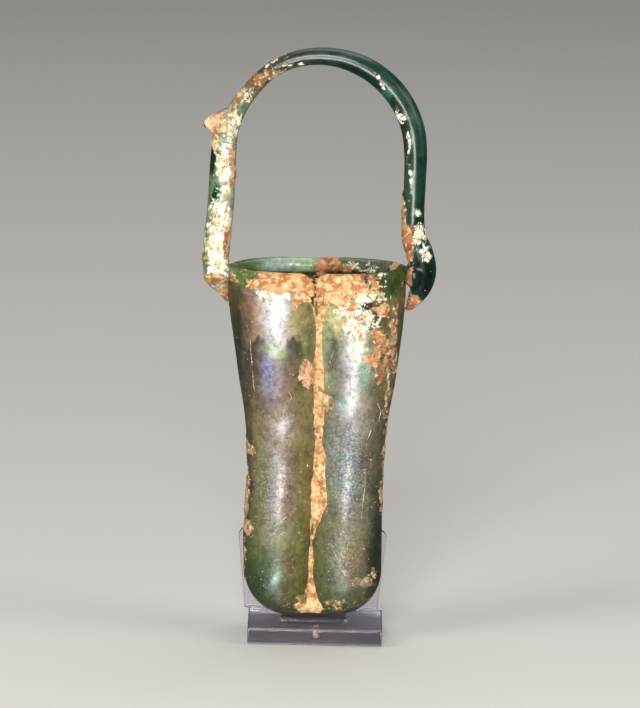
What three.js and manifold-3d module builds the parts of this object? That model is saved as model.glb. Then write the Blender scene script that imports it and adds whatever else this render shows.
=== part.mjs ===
// A Roman double cosmetic flask of blown glass: one gather pinched into two tubes, with a rolled
// rim and a basket handle, standing on its clear acrylic display stand.
// Millimetres, +Z up, the front faces -Y. The origin is the centre of the stand's underside.

import * as THREE from 'three';
import { mergeVertices } from 'three/addons/utils/BufferGeometryUtils.js';
import Module from 'manifold-3d';

const wasm = await Module();
wasm.setup();

// ---- Driving dimensions ----------------------------------------------------------------

// Flask. Heights are above the flask's own bottom.
const RIM_HEIGHT = 104.6;
const WALL = 1.6;
const FLOOR_THICKNESS = 4.2;
const TUBE_BOTTOM_RADIUS = 5; // rounds the inside of each tube over its floor
const SEPTUM = { thickness: 2, height: 100.5 };
const LEAN = THREE.MathUtils.degToRad(0.8); // the flask leans to the left on its stand
const FLASK_OFFSET_X = -0.5;

// The flask's bottom is drawn in under this height, from the full width down to a small flat.
const HEEL = { height: 13.5, flatHalfWidth: 7.5, flatHalfDepth: 3.5, flatPinch: 0.42 };

// Sections of the two tubes taken together, from the top of the heel to the rim. halfWidth and
// halfDepth are to the outside, and spread is from the flask's middle to the middle of one tube.
// Hand-blown glass isn't true: shift moves the whole section in X, and fold moves only the fold
// between the tubes.
const STATIONS = [
  { height: 13.5, halfWidth: 20.7, halfDepth: 10.3, spread: 10.1, shift: -0.5, fold: -0.7 },
  { height: 28, halfWidth: 20.7, halfDepth: 10.5, spread: 10.1, shift: -0.5, fold: -0.3 },
  { height: 47, halfWidth: 20.3, halfDepth: 10.3, spread: 9.9, shift: 0, fold: 0.7 },
  { height: 60, halfWidth: 21.5, halfDepth: 11.1, spread: 10.3, shift: 0.2, fold: 0.7 },
  { height: 72, halfWidth: 23.5, halfDepth: 12.3, spread: 11.2, shift: 0.2, fold: 0.6 },
  { height: 84, halfWidth: 25.1, halfDepth: 13.5, spread: 12.0, shift: 0.1, fold: 0.6 },
  { height: 93, halfWidth: 26.2, halfDepth: 14.2, spread: 12.1, shift: 0, fold: 0.8 },
  { height: 100, halfWidth: 26.5, halfDepth: 14.5, spread: 11.2, shift: 0, fold: 1 },
  { height: RIM_HEIGHT, halfWidth: 26.2, halfDepth: 14.6, spread: 9.4, shift: 0, fold: 1 },
];

const RIM = { halfWidth: 25.2, halfDepth: 13.6, radius: 2.1, waist: 0.12, waistWidth: 6 };

// Handle: an arch of this radius between two legs, a little sunk at its left shoulder. Each leg
// runs down past the rim into a trail of glass pressed on the flask's side. x and height.
const ARCH = { radius: 28.6, centreX: 0.3, height: 141.1, dent: 1.1, dentAngle: 2.5, dentSpan: 0.35 };
const LEFT_LEG = [[-26, 95], [-28.2, 99.2], [-30.2, 103], [-30.5, 108], [-30, 115.5], [-29, 126]];
const RIGHT_LEG = [
  [28.8, 132], [28.5, 122], [28.9, 115.5], [30.6, 110.5], [32, 105], [31, 100], [27.2, 93],
];
// Rod thickness along the handle, from the tip of the left trail at 0 to the right one's at 1.
const ROD = [
  { along: 0, thickness: 1.4 },
  { along: 0.026, thickness: 4.4 },
  { along: 0.05, thickness: 7.2 },
  { along: 0.08, thickness: 7.6 },
  { along: 0.25, thickness: 7.5 },
  { along: 0.3, thickness: 6.6 },
  { along: 0.34, thickness: 5.3 },
  { along: 0.5, thickness: 5.3 },
  { along: 0.57, thickness: 6.3 },
  { along: 0.64, thickness: 7 },
  { along: 0.86, thickness: 7 },
  { along: 0.9, thickness: 8.2 },
  { along: 0.935, thickness: 7.2 },
  { along: 0.965, thickness: 5.6 },
  { along: 1, thickness: 1.2 },
];

// The broken stub of a trail on the left shoulder, from its root to its tip. spread is how much
// wider its section is along the handle's plane than across it, and a taper over 1 hollows it.
const STUB = {
  from: [-27.4, 148.9], to: [-34.1, 148.4], root: 3.4, tip: 1.1, spread: 1.6, taper: 1.3,
};

// Where the hot handle was pressed on the two ends of the rim: centre in x and height, half sizes.
const PADS = [
  { centre: [-28.4, 104], half: [3.2, 4.6, 3.6] },
  { centre: [29, 104], half: [3.6, 4.6, 3.8] },
];

// Stand
const BASE = { width: 40.4, depth: 29, thickness: 4.8, bevel: 0.3 };
const FOOT_PAD = { width: 20, depth: 13, thickness: 1.3, bevel: 0.2, x: -0.4 };
const BACK_PLATE = {
  footWidth: 40.4, topWidth: 45, height: 25, thickness: 2.5, corner: 3, bevel: 0.25, x: -1.3, y: 13,
};
const GAP = 0.3; // between pieces that rest on each other

// How finely the flask's curves are cut into flat facets.
const RING_SIDES = 48;
const TUBE_SIDES = 24;
const ROD_SIDES = 12;
const RIM_SIDES = 10;
const PAD_SIDES = { around: 14, up: 8 };

const UP = new THREE.Vector3(0, 0, 1);
const BACK = new THREE.Vector3(0, 1, 0);

// ---- Closed meshes and solids ----------------------------------------------------------

// A closed mesh through rings of points, either capped at both ends or joined end to end.
function loft(rings, endless = false) {
  const sides = rings[0].length;
  const positions = rings.flat().flatMap((p) => [p.x, p.y, p.z]);
  const indices = [];
  const spans = endless ? rings.length : rings.length - 1;
  for (let i = 0; i < spans; i += 1) {
    const low = i * sides;
    const high = ((i + 1) % rings.length) * sides;
    for (let j = 0; j < sides; j += 1) {
      const k = (j + 1) % sides;
      indices.push(low + j, low + k, high + k);
      indices.push(low + j, high + k, high + j);
    }
  }
  if (!endless) {
    capRing(positions, indices, rings[0], 0, true);
    capRing(positions, indices, rings.at(-1), (rings.length - 1) * sides, false);
  }
  const geometry = new THREE.BufferGeometry();
  geometry.setAttribute('position', new THREE.Float32BufferAttribute(positions, 3));
  geometry.setIndex(indices);
  return geometry;
}

// Closes one end of a loft with a fan about the ring's middle.
function capRing(positions, indices, ring, start, isFirst) {
  const middle = new THREE.Vector3();
  ring.forEach((p) => middle.add(p));
  middle.divideScalar(ring.length);
  const centre = positions.length / 3;
  positions.push(middle.x, middle.y, middle.z);
  for (let j = 0; j < ring.length; j += 1) {
    const a = start + j;
    const b = start + ((j + 1) % ring.length);
    indices.push(...(isFirst ? [centre, b, a] : [centre, a, b]));
  }
}

// The solid that a closed geometry bounds. Its faces are turned outwards first.
function solid(geometry) {
  const bare = geometry.clone();
  bare.deleteAttribute('normal');
  bare.deleteAttribute('uv');
  const merged = mergeVertices(bare, 1e-4);
  const corners = [];
  for (let i = 0; i < merged.index.count; i += 3) {
    const [a, b, c] = [0, 1, 2].map((n) => merged.index.getX(i + n));
    if (a !== b && b !== c && c !== a) corners.push(a, b, c);
  }
  const points = merged.getAttribute('position');
  if (signedVolume(points, corners) < 0) {
    corners.reverse();
  }
  const mesh = new wasm.Mesh({
    numProp: 3,
    vertProperties: new Float32Array(points.array),
    triVerts: new Uint32Array(corners),
  });
  return new wasm.Manifold(mesh);
}

// Six times the volume inside a closed mesh, negative where its faces point inwards.
function signedVolume(points, corners) {
  const [a, b, c] = [new THREE.Vector3(), new THREE.Vector3(), new THREE.Vector3()];
  let sum = 0;
  for (let i = 0; i < corners.length; i += 3) {
    a.fromBufferAttribute(points, corners[i]);
    b.fromBufferAttribute(points, corners[i + 1]);
    c.fromBufferAttribute(points, corners[i + 2]);
    sum += a.dot(b.cross(c));
  }
  return sum;
}

function geometryOf(manifold) {
  const { vertProperties, triVerts } = manifold.getMesh();
  const geometry = new THREE.BufferGeometry();
  geometry.setAttribute('position', new THREE.Float32BufferAttribute(vertProperties, 3));
  geometry.setIndex([...triVerts]);
  return geometry;
}

// A smooth reading between stations: f(position) gives the named values there.
function smoothStations(stations, along, names) {
  const at = stations.map((s) => s[along]);
  const values = stations.flatMap((s) => names.map((n) => s[n]));
  const curve = new THREE.CubicInterpolant(at, values, names.length);
  return (position) => {
    const read = curve.evaluate(THREE.MathUtils.clamp(position, at[0], at.at(-1)));
    return Object.fromEntries(names.map((n, i) => [n, read[i]]));
  };
}

// ---- Flask body ------------------------------------------------------------------------

const SECTION_NAMES = ['halfWidth', 'halfDepth', 'spread', 'shift', 'fold'];
const bodyAbove = smoothStations(STATIONS, 'height', SECTION_NAMES);

// The outside section at a height, with the heel drawn in on a quarter ellipse.
function sectionAt(height) {
  const full = bodyAbove(height);
  if (height >= HEEL.height) return full;
  const level = 1 - height / HEEL.height;
  const out = Math.sqrt(Math.max(0, 1 - level * level));
  const halfWidth = THREE.MathUtils.lerp(HEEL.flatHalfWidth, full.halfWidth, out);
  const halfDepth = THREE.MathUtils.lerp(HEEL.flatHalfDepth, full.halfDepth, out);
  const pinch = THREE.MathUtils.lerp(HEEL.flatPinch, full.spread / full.halfWidth, out);
  return { ...full, halfWidth, halfDepth, spread: halfWidth * pinch };
}

// A point of the flask, moved as its section is shifted and its fold is off the middle.
function placed(x, y, height) {
  const { halfWidth, shift, fold } = sectionAt(height);
  const nearFold = 1 - (x / halfWidth) ** 2;
  return new THREE.Vector3(x + shift + fold * nearFold, y, height);
}

// Two ellipses side by side, merged at a crease in front and one behind.
function twinOutline(height) {
  const { halfWidth, halfDepth, spread } = sectionAt(height);
  const reach = halfWidth - spread;
  const crease = Math.acos(-spread / reach);
  const ring = [];
  for (const side of [1, -1]) {
    for (let j = 0; j < RING_SIDES / 2; j += 1) {
      const turn = crease * ((4 * j) / RING_SIDES - 1);
      const x = side * (spread + reach * Math.cos(turn));
      ring.push(placed(x, side * halfDepth * Math.sin(turn), height));
    }
  }
  return ring;
}

function outerBody() {
  const heights = [];
  const heelSteps = 8;
  for (let i = 0; i < heelSteps; i += 1) {
    heights.push(HEEL.height * (1 - Math.cos((Math.PI / 2) * (i / heelSteps))));
  }
  const wallSteps = 21;
  for (let i = 0; i <= wallSteps; i += 1) {
    heights.push(THREE.MathUtils.lerp(HEEL.height, RIM_HEIGHT, i / wallSteps));
  }
  return solid(loft(heights.map(twinOutline)));
}

// The inside of one tube, open at the top. Its bottom is rounded over the thick floor.
function tubeCavity(side) {
  const rings = [];
  const rounding = TUBE_BOTTOM_RADIUS;
  const ringAt = (height, inset) => {
    const { halfWidth, halfDepth, spread } = sectionAt(height);
    const reach = halfWidth - spread - inset;
    const ring = [];
    for (let j = 0; j < TUBE_SIDES; j += 1) {
      const turn = (2 * Math.PI * j) / TUBE_SIDES;
      const x = side * spread + reach * Math.cos(turn);
      ring.push(placed(x, (halfDepth - inset) * Math.sin(turn), height));
    }
    return ring;
  };
  const bottomSteps = 4;
  for (let i = 0; i < bottomSteps; i += 1) {
    const turn = (Math.PI / 2) * (i / bottomSteps);
    const height = FLOOR_THICKNESS + rounding * (1 - Math.cos(turn));
    rings.push(ringAt(height, WALL + rounding * (1 - Math.sin(turn))));
  }
  const wallSteps = 16;
  const start = FLOOR_THICKNESS + rounding;
  for (let i = 0; i <= wallSteps; i += 1) {
    rings.push(ringAt(THREE.MathUtils.lerp(start, RIM_HEIGHT, i / wallSteps), WALL));
  }
  const mouth = ringAt(RIM_HEIGHT, WALL);
  mouth.forEach((p) => p.setZ(RIM_HEIGHT + 2 * RIM.radius));
  rings.push(mouth);
  return solid(loft(rings));
}

// The wall between the tubes, which follows the fold and ends just under the mouth.
function septum() {
  const half = SEPTUM.thickness / 2;
  const reach = 2 * RIM.halfDepth;
  const corners = [[-half, -reach], [half, -reach], [half, reach], [-half, reach]];
  const rings = [];
  const steps = 8;
  for (let i = 0; i <= steps; i += 1) {
    const height = (SEPTUM.height * i) / steps;
    rings.push(corners.map(([x, y]) => placed(x, y, height)));
  }
  return solid(loft(rings));
}

// The rolled lip: a round bead along a slightly waisted oval.
function rimBead() {
  const pointAt = (turn) => {
    const x = RIM.halfWidth * Math.cos(turn);
    const waist = 1 - RIM.waist * Math.exp(-((x / RIM.waistWidth) ** 2));
    return new THREE.Vector3(x, RIM.halfDepth * Math.sin(turn) * waist, RIM_HEIGHT);
  };
  const rings = [];
  for (let i = 0; i < RING_SIDES; i += 1) {
    const turn = (2 * Math.PI * i) / RING_SIDES;
    const step = Math.PI / RING_SIDES;
    const tangent = pointAt(turn + step).sub(pointAt(turn - step)).normalize();
    rings.push(ringAbout(pointAt(turn), tangent, UP, RIM.radius, RIM.radius, RIM_SIDES));
  }
  return solid(loft(rings, true));
}

// ---- Handle ----------------------------------------------------------------------------

const onPlane = ([x, height]) => new THREE.Vector3(x, 0, height);

// An ellipse square to a tangent: its half size across is along the given direction, and
// beside is its half size square to that.
function ringAbout(centre, tangent, direction, across, beside, sides) {
  const normal = new THREE.Vector3().crossVectors(direction, tangent).normalize();
  const ring = [];
  for (let j = 0; j < sides; j += 1) {
    const turn = (2 * Math.PI * j) / sides;
    const point = centre.clone();
    point.addScaledVector(normal, beside * Math.cos(turn));
    point.addScaledVector(direction, across * Math.sin(turn));
    ring.push(point);
  }
  return ring;
}

// The handle's centre line: up the left leg, over the arch and down the right leg.
function handleCurve() {
  const points = LEFT_LEG.map(onPlane);
  const archSteps = 12;
  for (let i = 0; i <= archSteps; i += 1) {
    const turn = Math.PI * (1 - i / archSteps);
    const sink = ARCH.dent * Math.exp(-(((turn - ARCH.dentAngle) / ARCH.dentSpan) ** 2));
    const radius = ARCH.radius - sink;
    const x = ARCH.centreX + radius * Math.cos(turn);
    points.push(new THREE.Vector3(x, 0, ARCH.height + radius * Math.sin(turn)));
  }
  points.push(...RIGHT_LEG.map(onPlane));
  return new THREE.CatmullRomCurve3(points, false, 'centripetal');
}

function handleRod() {
  const curve = handleCurve();
  const rodAt = smoothStations(ROD, 'along', ['thickness']);
  const steps = 64;
  const rings = [];
  for (let i = 0; i <= steps; i += 1) {
    const along = i / steps;
    const half = rodAt(along).thickness / 2;
    const tangent = curve.getTangentAt(along);
    rings.push(ringAbout(curve.getPointAt(along), tangent, BACK, half, half, ROD_SIDES));
  }
  return solid(loft(rings));
}

function brokenStub({ from, to, root, tip, spread, taper }) {
  const [start, end] = [onPlane(from), onPlane(to)];
  const tangent = end.clone().sub(start).normalize();
  const steps = 4;
  const rings = [];
  for (let i = 0; i <= steps; i += 1) {
    const along = i / steps;
    const half = THREE.MathUtils.lerp(root, tip, along ** taper);
    const centre = start.clone().lerp(end, along);
    rings.push(ringAbout(centre, tangent, BACK, half, half * spread, ROD_SIDES));
  }
  return solid(loft(rings));
}

function pressedPad({ centre, half }) {
  const ball = new THREE.SphereGeometry(1, PAD_SIDES.around, PAD_SIDES.up);
  ball.scale(...half);
  ball.translate(centre[0], 0, centre[1]);
  return solid(ball);
}

function glassBottle() {
  const tubes = tubeCavity(-1).add(tubeCavity(1)).subtract(septum());
  let glass = outerBody().subtract(tubes);
  glass = glass.add(rimBead()).add(handleRod()).add(brokenStub(STUB));
  for (const shape of PADS) glass = glass.add(pressedPad(shape));
  return geometryOf(glass);
}

// ---- Stand -----------------------------------------------------------------------------

// A flat piece with softened edges, its outline in X and Y and its thickness along Z from 0.
function softSlab(shape, thickness, bevel) {
  const slab = new THREE.ExtrudeGeometry(shape, {
    depth: thickness - 2 * bevel,
    bevelThickness: bevel,
    bevelSize: bevel,
    bevelOffset: -bevel,
    bevelSegments: 1,
    curveSegments: 6,
  });
  slab.translate(0, 0, bevel);
  return geometryOf(solid(slab));
}

function rectangle(width, depth) {
  const shape = new THREE.Shape();
  shape.moveTo(-width / 2, -depth / 2);
  shape.lineTo(width / 2, -depth / 2);
  shape.lineTo(width / 2, depth / 2);
  shape.lineTo(-width / 2, depth / 2);
  shape.closePath();
  return shape;
}

// The upright plate's outline, from its foot at 0 up. It widens upwards to two rounded corners.
function plateOutline({ footWidth, topWidth, height, corner }) {
  const [foot, side] = [footWidth / 2, topWidth / 2];
  const shape = new THREE.Shape();
  shape.moveTo(-foot, 0);
  shape.lineTo(foot, 0);
  shape.lineTo(side, height - corner);
  shape.absarc(side - corner, height - corner, corner, 0, Math.PI / 2);
  shape.lineTo(corner - side, height);
  shape.absarc(corner - side, height - corner, corner, Math.PI / 2, Math.PI);
  shape.closePath();
  return shape;
}

// ---- Assembly --------------------------------------------------------------------------

const GLASS = { color: 0x5f8f6a, roughness: 0.35, metalness: 0 };
const ACRYLIC = {
  color: 0xe9edf2, roughness: 0.08, metalness: 0, transparent: true, opacity: 0.35,
};

function piece(name, geometry, look) {
  const mesh = new THREE.Mesh(geometry, new THREE.MeshStandardMaterial(look));
  mesh.name = name;
  return mesh;
}

const group = new THREE.Group();

const base = softSlab(rectangle(BASE.width, BASE.depth), BASE.thickness, BASE.bevel);
group.add(piece('base_block', base, ACRYLIC));

const padOutline = rectangle(FOOT_PAD.width, FOOT_PAD.depth);
const pad = piece('foot_pad', softSlab(padOutline, FOOT_PAD.thickness, FOOT_PAD.bevel), ACRYLIC);
pad.position.set(FOOT_PAD.x, 0, BASE.thickness + GAP);
group.add(pad);

const upright = softSlab(plateOutline(BACK_PLATE), BACK_PLATE.thickness, BACK_PLATE.bevel);
const plate = piece('back_plate', upright, ACRYLIC);
plate.rotation.x = Math.PI / 2;
plate.position.set(BACK_PLATE.x, BACK_PLATE.y + BACK_PLATE.thickness / 2, BASE.thickness + GAP);
group.add(plate);

const flask = new THREE.Group();
flask.add(piece('glass_bottle', glassBottle(), GLASS));
flask.rotation.y = -LEAN;
flask.position.set(FLASK_OFFSET_X, 0, pad.position.z + FOOT_PAD.thickness + GAP);
group.add(flask);

export default group;
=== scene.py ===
"""Dresses a Roman double cosmetic flask of blown glass, with its clear acrylic display stand.

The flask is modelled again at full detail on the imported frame: two tubes pinched from one
gather, a rolled rim, a basket handle trailed on while hot, a weathering film that flakes, and
soil and lime left from burial. Lengths are millimetres, but metres in the studio's classes. The
flask's own frame has its origin at the flask's bottom and leans with the flask.
"""

import itertools
import logging
import math
from dataclasses import dataclass, field
from enum import Enum

import bmesh
import bpy
import numpy as np
from mathutils import Matrix, Quaternion, Vector


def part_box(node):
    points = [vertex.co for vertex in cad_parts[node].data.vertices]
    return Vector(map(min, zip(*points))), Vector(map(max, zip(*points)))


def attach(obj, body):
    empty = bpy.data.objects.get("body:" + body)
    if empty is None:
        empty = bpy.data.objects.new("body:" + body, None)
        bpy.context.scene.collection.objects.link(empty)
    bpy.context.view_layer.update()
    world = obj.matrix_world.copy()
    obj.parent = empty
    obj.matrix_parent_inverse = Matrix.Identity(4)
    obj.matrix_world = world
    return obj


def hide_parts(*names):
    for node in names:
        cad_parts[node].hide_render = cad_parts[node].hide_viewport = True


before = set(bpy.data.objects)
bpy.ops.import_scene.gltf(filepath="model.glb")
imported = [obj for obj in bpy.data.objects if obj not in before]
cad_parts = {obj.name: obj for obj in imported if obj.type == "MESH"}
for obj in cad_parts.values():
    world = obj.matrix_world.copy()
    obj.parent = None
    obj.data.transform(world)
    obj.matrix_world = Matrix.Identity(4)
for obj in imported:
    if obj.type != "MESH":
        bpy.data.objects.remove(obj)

LOG = logging.getLogger("flask")
MM = 0.001
BODY = "root"
Array = np.ndarray
Colour = tuple[float, float, float, float]
Socket = bpy.types.NodeSocket

# Settings that many shader nodes share.
SMOOTH = {"interpolation_type": "SMOOTHSTEP"}
TIMES = {"operation": "MULTIPLY"}
COLOURS = {"data_type": "RGBA"}
DARKEN = {"data_type": "RGBA", "blend_type": "MULTIPLY"}


# ---- Small helpers ---------------------------------------------------------------------


def linear(hex_colour: str) -> Colour:
    """Turns an sRGB hex colour into linear light.

    Args:
        hex_colour: six hex digits after a hash.

    Returns:
        Red, green and blue in linear light, and an alpha of 1.
    """
    parts = [int(hex_colour[i : i + 2], 16) / 255 for i in (1, 3, 5)]
    turned = [c / 12.92 if c <= 0.04045 else ((c + 0.055) / 1.055) ** 2.4 for c in parts]
    return (*turned, 1.0)


def smoothstep(low: float, high: float, value: Array) -> Array:
    """Returns 0 below low, 1 above high and a smooth ramp between."""
    part = np.clip((value - low) / (high - low), 0, 1)
    return part * part * (3 - 2 * part)


def lattice(cells: Array, seed: int) -> Array:
    """Gives each whole-number cell a repeatable value.

    Args:
        cells: cell coordinates, three to a row.
        seed: changes every value.

    Returns:
        One number from 0 to 1 for each row.
    """
    x, y, z = (cells[:, i].astype(np.int64) for i in range(3))
    mixed = (x * 374761393 + y * 668265263 + z * 1442695041 + seed * 974634777) & 0xFFFFFFFF
    mixed = ((mixed ^ (mixed >> 13)) * 1274126177) & 0xFFFFFFFF
    return ((mixed ^ (mixed >> 16)) & 0xFFFFFF) / 0xFFFFFF


def grain(points: Array, size: float, seed: int, octaves: int = 3) -> Array:
    """Smooth repeatable noise in space.

    Args:
        points: positions in millimetres, three to a row.
        size: the width of the largest lumps, in millimetres.
        seed: chooses the pattern.
        octaves: how many finer layers are added, each at half the size.

    Returns:
        One number from about 0 to 1 for each point.
    """
    total = np.zeros(len(points))
    weight = 0.0
    for octave in range(octaves):
        scaled = points * (2**octave / size) + 19.7 * octave
        base = np.floor(scaled)
        ease = scaled - base
        ease = ease * ease * (3 - 2 * ease)
        layer = np.zeros(len(points))
        for corner in itertools.product((0, 1), repeat=3):
            share = np.prod(np.where(np.array(corner), ease, 1 - ease), axis=1)
            layer += share * lattice(base + np.array(corner), seed + octave)
        total += layer * 0.5**octave
        weight += 0.5**octave
    return total / weight


def smooth_table(stations: Array, values: Array, at: Array) -> Array:
    """Reads a smooth curve through stations.

    Args:
        stations: increasing positions.
        values: one row of values for each station.
        at: positions to read, held to the first and last station.

    Returns:
        One row of values for each position.
    """
    place = np.clip(at, stations[0], stations[-1])
    i = np.clip(np.searchsorted(stations, place, side="right") - 1, 0, len(stations) - 2)
    secant = np.diff(values, axis=0) / np.diff(stations)[:, None]
    slope = np.vstack([secant[:1], (secant[1:] + secant[:-1]) / 2, secant[-1:]])
    step = (stations[i + 1] - stations[i])[:, None]
    p = (place - stations[i])[:, None] / step
    return (
        (2 * p**3 - 3 * p**2 + 1) * values[i]
        + (p**3 - 2 * p**2 + p) * step * slope[i]
        + (3 * p**2 - 2 * p**3) * values[i + 1]
        + (p**3 - p**2) * step * slope[i + 1]
    )


def mesh_object(name: str, points: Array, faces: Array | list) -> bpy.types.Object:
    """Links a new smooth mesh object.

    Args:
        name: the object's name.
        points: vertices in millimetres.
        faces: the vertex numbers of each face.

    Returns:
        The object, in metres.
    """
    mesh = bpy.data.meshes.new(name)
    mesh.from_pydata((points * MM).tolist(), [], [list(map(int, f)) for f in faces])
    mesh.validate()
    mesh.shade_smooth()
    made = bpy.data.objects.new(name, mesh)
    bpy.context.scene.collection.objects.link(made)
    return made


def loft(name: str, rings: Array, endless: bool = False) -> bpy.types.Object:
    """Skins rings of points into one closed mesh.

    Args:
        name: the object's name.
        rings: an array of rings, points and coordinates.
        endless: joins the last ring to the first, in place of capping both ends.

    Returns:
        The object.
    """
    count, sides = rings.shape[:2]
    spans = count if endless else count - 1
    i, j = np.meshgrid(np.arange(spans), np.arange(sides), indexing="ij")
    low, high, k = i * sides, (i + 1) % count * sides, (j + 1) % sides
    quads = np.stack([low + j, low + k, high + k, high + j], -1).reshape(-1, 4)
    points = rings.reshape(-1, 3)
    faces = quads.tolist()
    if not endless:
        points = np.vstack([points, rings[0].mean(0), rings[-1].mean(0)])
        first, last, start = len(points) - 2, len(points) - 1, (count - 1) * sides
        for n in range(sides):
            m = (n + 1) % sides
            faces.append([first, m, n])
            faces.append([last, start + n, start + m])
    made = mesh_object(name, points, faces)
    turn_outwards(made)
    return made


def turn_outwards(piece: bpy.types.Object) -> None:
    """Flips a closed mesh whose faces point inwards.

    Args:
        piece: the object.
    """
    mesh = piece.data
    mesh.calc_loop_triangles()
    points = vertices_of(piece)
    corners = np.array([t.vertices[:] for t in mesh.loop_triangles])
    a, b, c = (points[corners[:, n]] for n in range(3))
    if np.einsum("ij,ij->i", a, np.cross(b, c)).sum() < 0:
        mesh.flip_normals()


def vertices_of(piece: bpy.types.Object) -> Array:
    """Reads a mesh's vertices.

    Args:
        piece: the object.

    Returns:
        Positions in millimetres, three to a row.
    """
    flat = np.empty(len(piece.data.vertices) * 3)
    piece.data.vertices.foreach_get("co", flat)
    return flat.reshape(-1, 3) / MM


def set_vertices(piece: bpy.types.Object, points: Array) -> None:
    """Moves a mesh's vertices to points in millimetres."""
    piece.data.vertices.foreach_set("co", (points * MM).ravel())
    piece.data.update()


def normals_of(piece: bpy.types.Object) -> Array:
    """Reads a mesh's vertex normals.

    Args:
        piece: the object.

    Returns:
        Unit vectors, three to a row.
    """
    flat = np.empty(len(piece.data.vertices) * 3)
    piece.data.vertex_normals.foreach_get("vector", flat)
    return flat.reshape(-1, 3)


def settle(piece: bpy.types.Object, kind: str, **settings: object) -> None:
    """Adds one modifier and applies it to the mesh.

    Args:
        piece: the object to change.
        kind: Blender's name for the modifier.
        **settings: values for the modifier.
    """
    modifier = piece.modifiers.new("step", kind)
    for key, value in settings.items():
        setattr(modifier, key, value)
    graph = bpy.context.evaluated_depsgraph_get()
    mesh = bpy.data.meshes.new_from_object(piece.evaluated_get(graph))
    piece.modifiers.clear()
    spent, piece.data = piece.data, mesh
    bpy.data.meshes.remove(spent)
    piece.data.name = piece.name
    piece.data.shade_smooth()


def combine(piece: bpy.types.Object, other: bpy.types.Object, how: str) -> None:
    """Applies a solid boolean and removes the other object.

    Args:
        piece: the object that keeps the result.
        other: the object that is added or taken away.
        how: UNION or DIFFERENCE.
    """
    settle(piece, "BOOLEAN", object=other, operation=how, solver="MANIFOLD")
    bpy.data.objects.remove(other)


# ---- Where the surface keeps soil, lime, film or bare glass ------------------------------


EARTH = "#cf965a"
INSIDE = "#5a4c30"  # the dirty film in the tubes
BAND_WANDER = 0.4  # how much a dark band's edge follows the noise, against 1 for other edges
BAND_SCALLOP = (0.03, 9.0)  # depth and closeness of the waves in it, against its own size
BAND_SAG = 0.13  # how far its ends hang down


class Region(Enum):
    """The parts of the flask that patches are placed on."""

    BODY = "body"
    RIM = "rim"
    HANDLE = "handle"


class Face(Enum):
    """Which side of the flask a patch lies on."""

    FRONT = -1
    BACK = 1
    BOTH = 0


class Cover(Enum):
    """What a patch leaves on the glass."""

    SOIL = "soil"
    LIME = "lime"
    CLEAR = "clear"
    PEARL = "pearl"
    TINT = "tint"
    DARK_BAND = "dark_band"


LAYERS = (Cover.SOIL, Cover.LIME, Cover.CLEAR, Cover.PEARL, Cover.DARK_BAND)


@dataclass(frozen=True)
class Patch:
    """An oval area of one cover, with a soft edge that the noise then roughens.

    x and height are its middle and wide and tall its half sizes, in the flask's own frame. turn
    leans it clockwise from upright, in degrees. A dark band has its height at its crisp upper
    edge and fades out downwards.
    """

    cover: Cover
    region: Region
    face: Face
    x: float
    height: float
    wide: float
    tall: float
    amount: float = 1.0
    colour: str = ""
    turn: float = 0.0

    def spread(self, points: Array, warp: Array) -> Array:
        """Tells how near each point is.

        Args:
            points: positions in the flask's own frame.
            warp: how far the noise moves each point, sideways and up.

        Returns:
            1 at the patch's middle, 0.5 at its edge and 0 far away.
        """
        wander = BAND_WANDER if self.cover is Cover.DARK_BAND else 1.0
        far_x = points[:, 0] - self.x + wander * warp[:, 0]
        far_z = points[:, 2] - self.height + wander * warp[:, 1]
        cos, sin = math.cos(math.radians(self.turn)), math.sin(math.radians(self.turn))
        dx = (far_x * cos - far_z * sin) / self.wide
        dz = (far_x * sin + far_z * cos) / self.tall
        if self.cover is Cover.DARK_BAND:
            crest = BAND_SCALLOP[0] * np.cos(dx * BAND_SCALLOP[1] + self.x) - BAND_SAG * dx * dx
            return np.exp(2 * (dz - crest)) * smoothstep(0.02, -0.05, dz - crest) / (1 + dx**6)
        return 1 / (1 + (dx * dx + dz * dz) ** 2)


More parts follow.
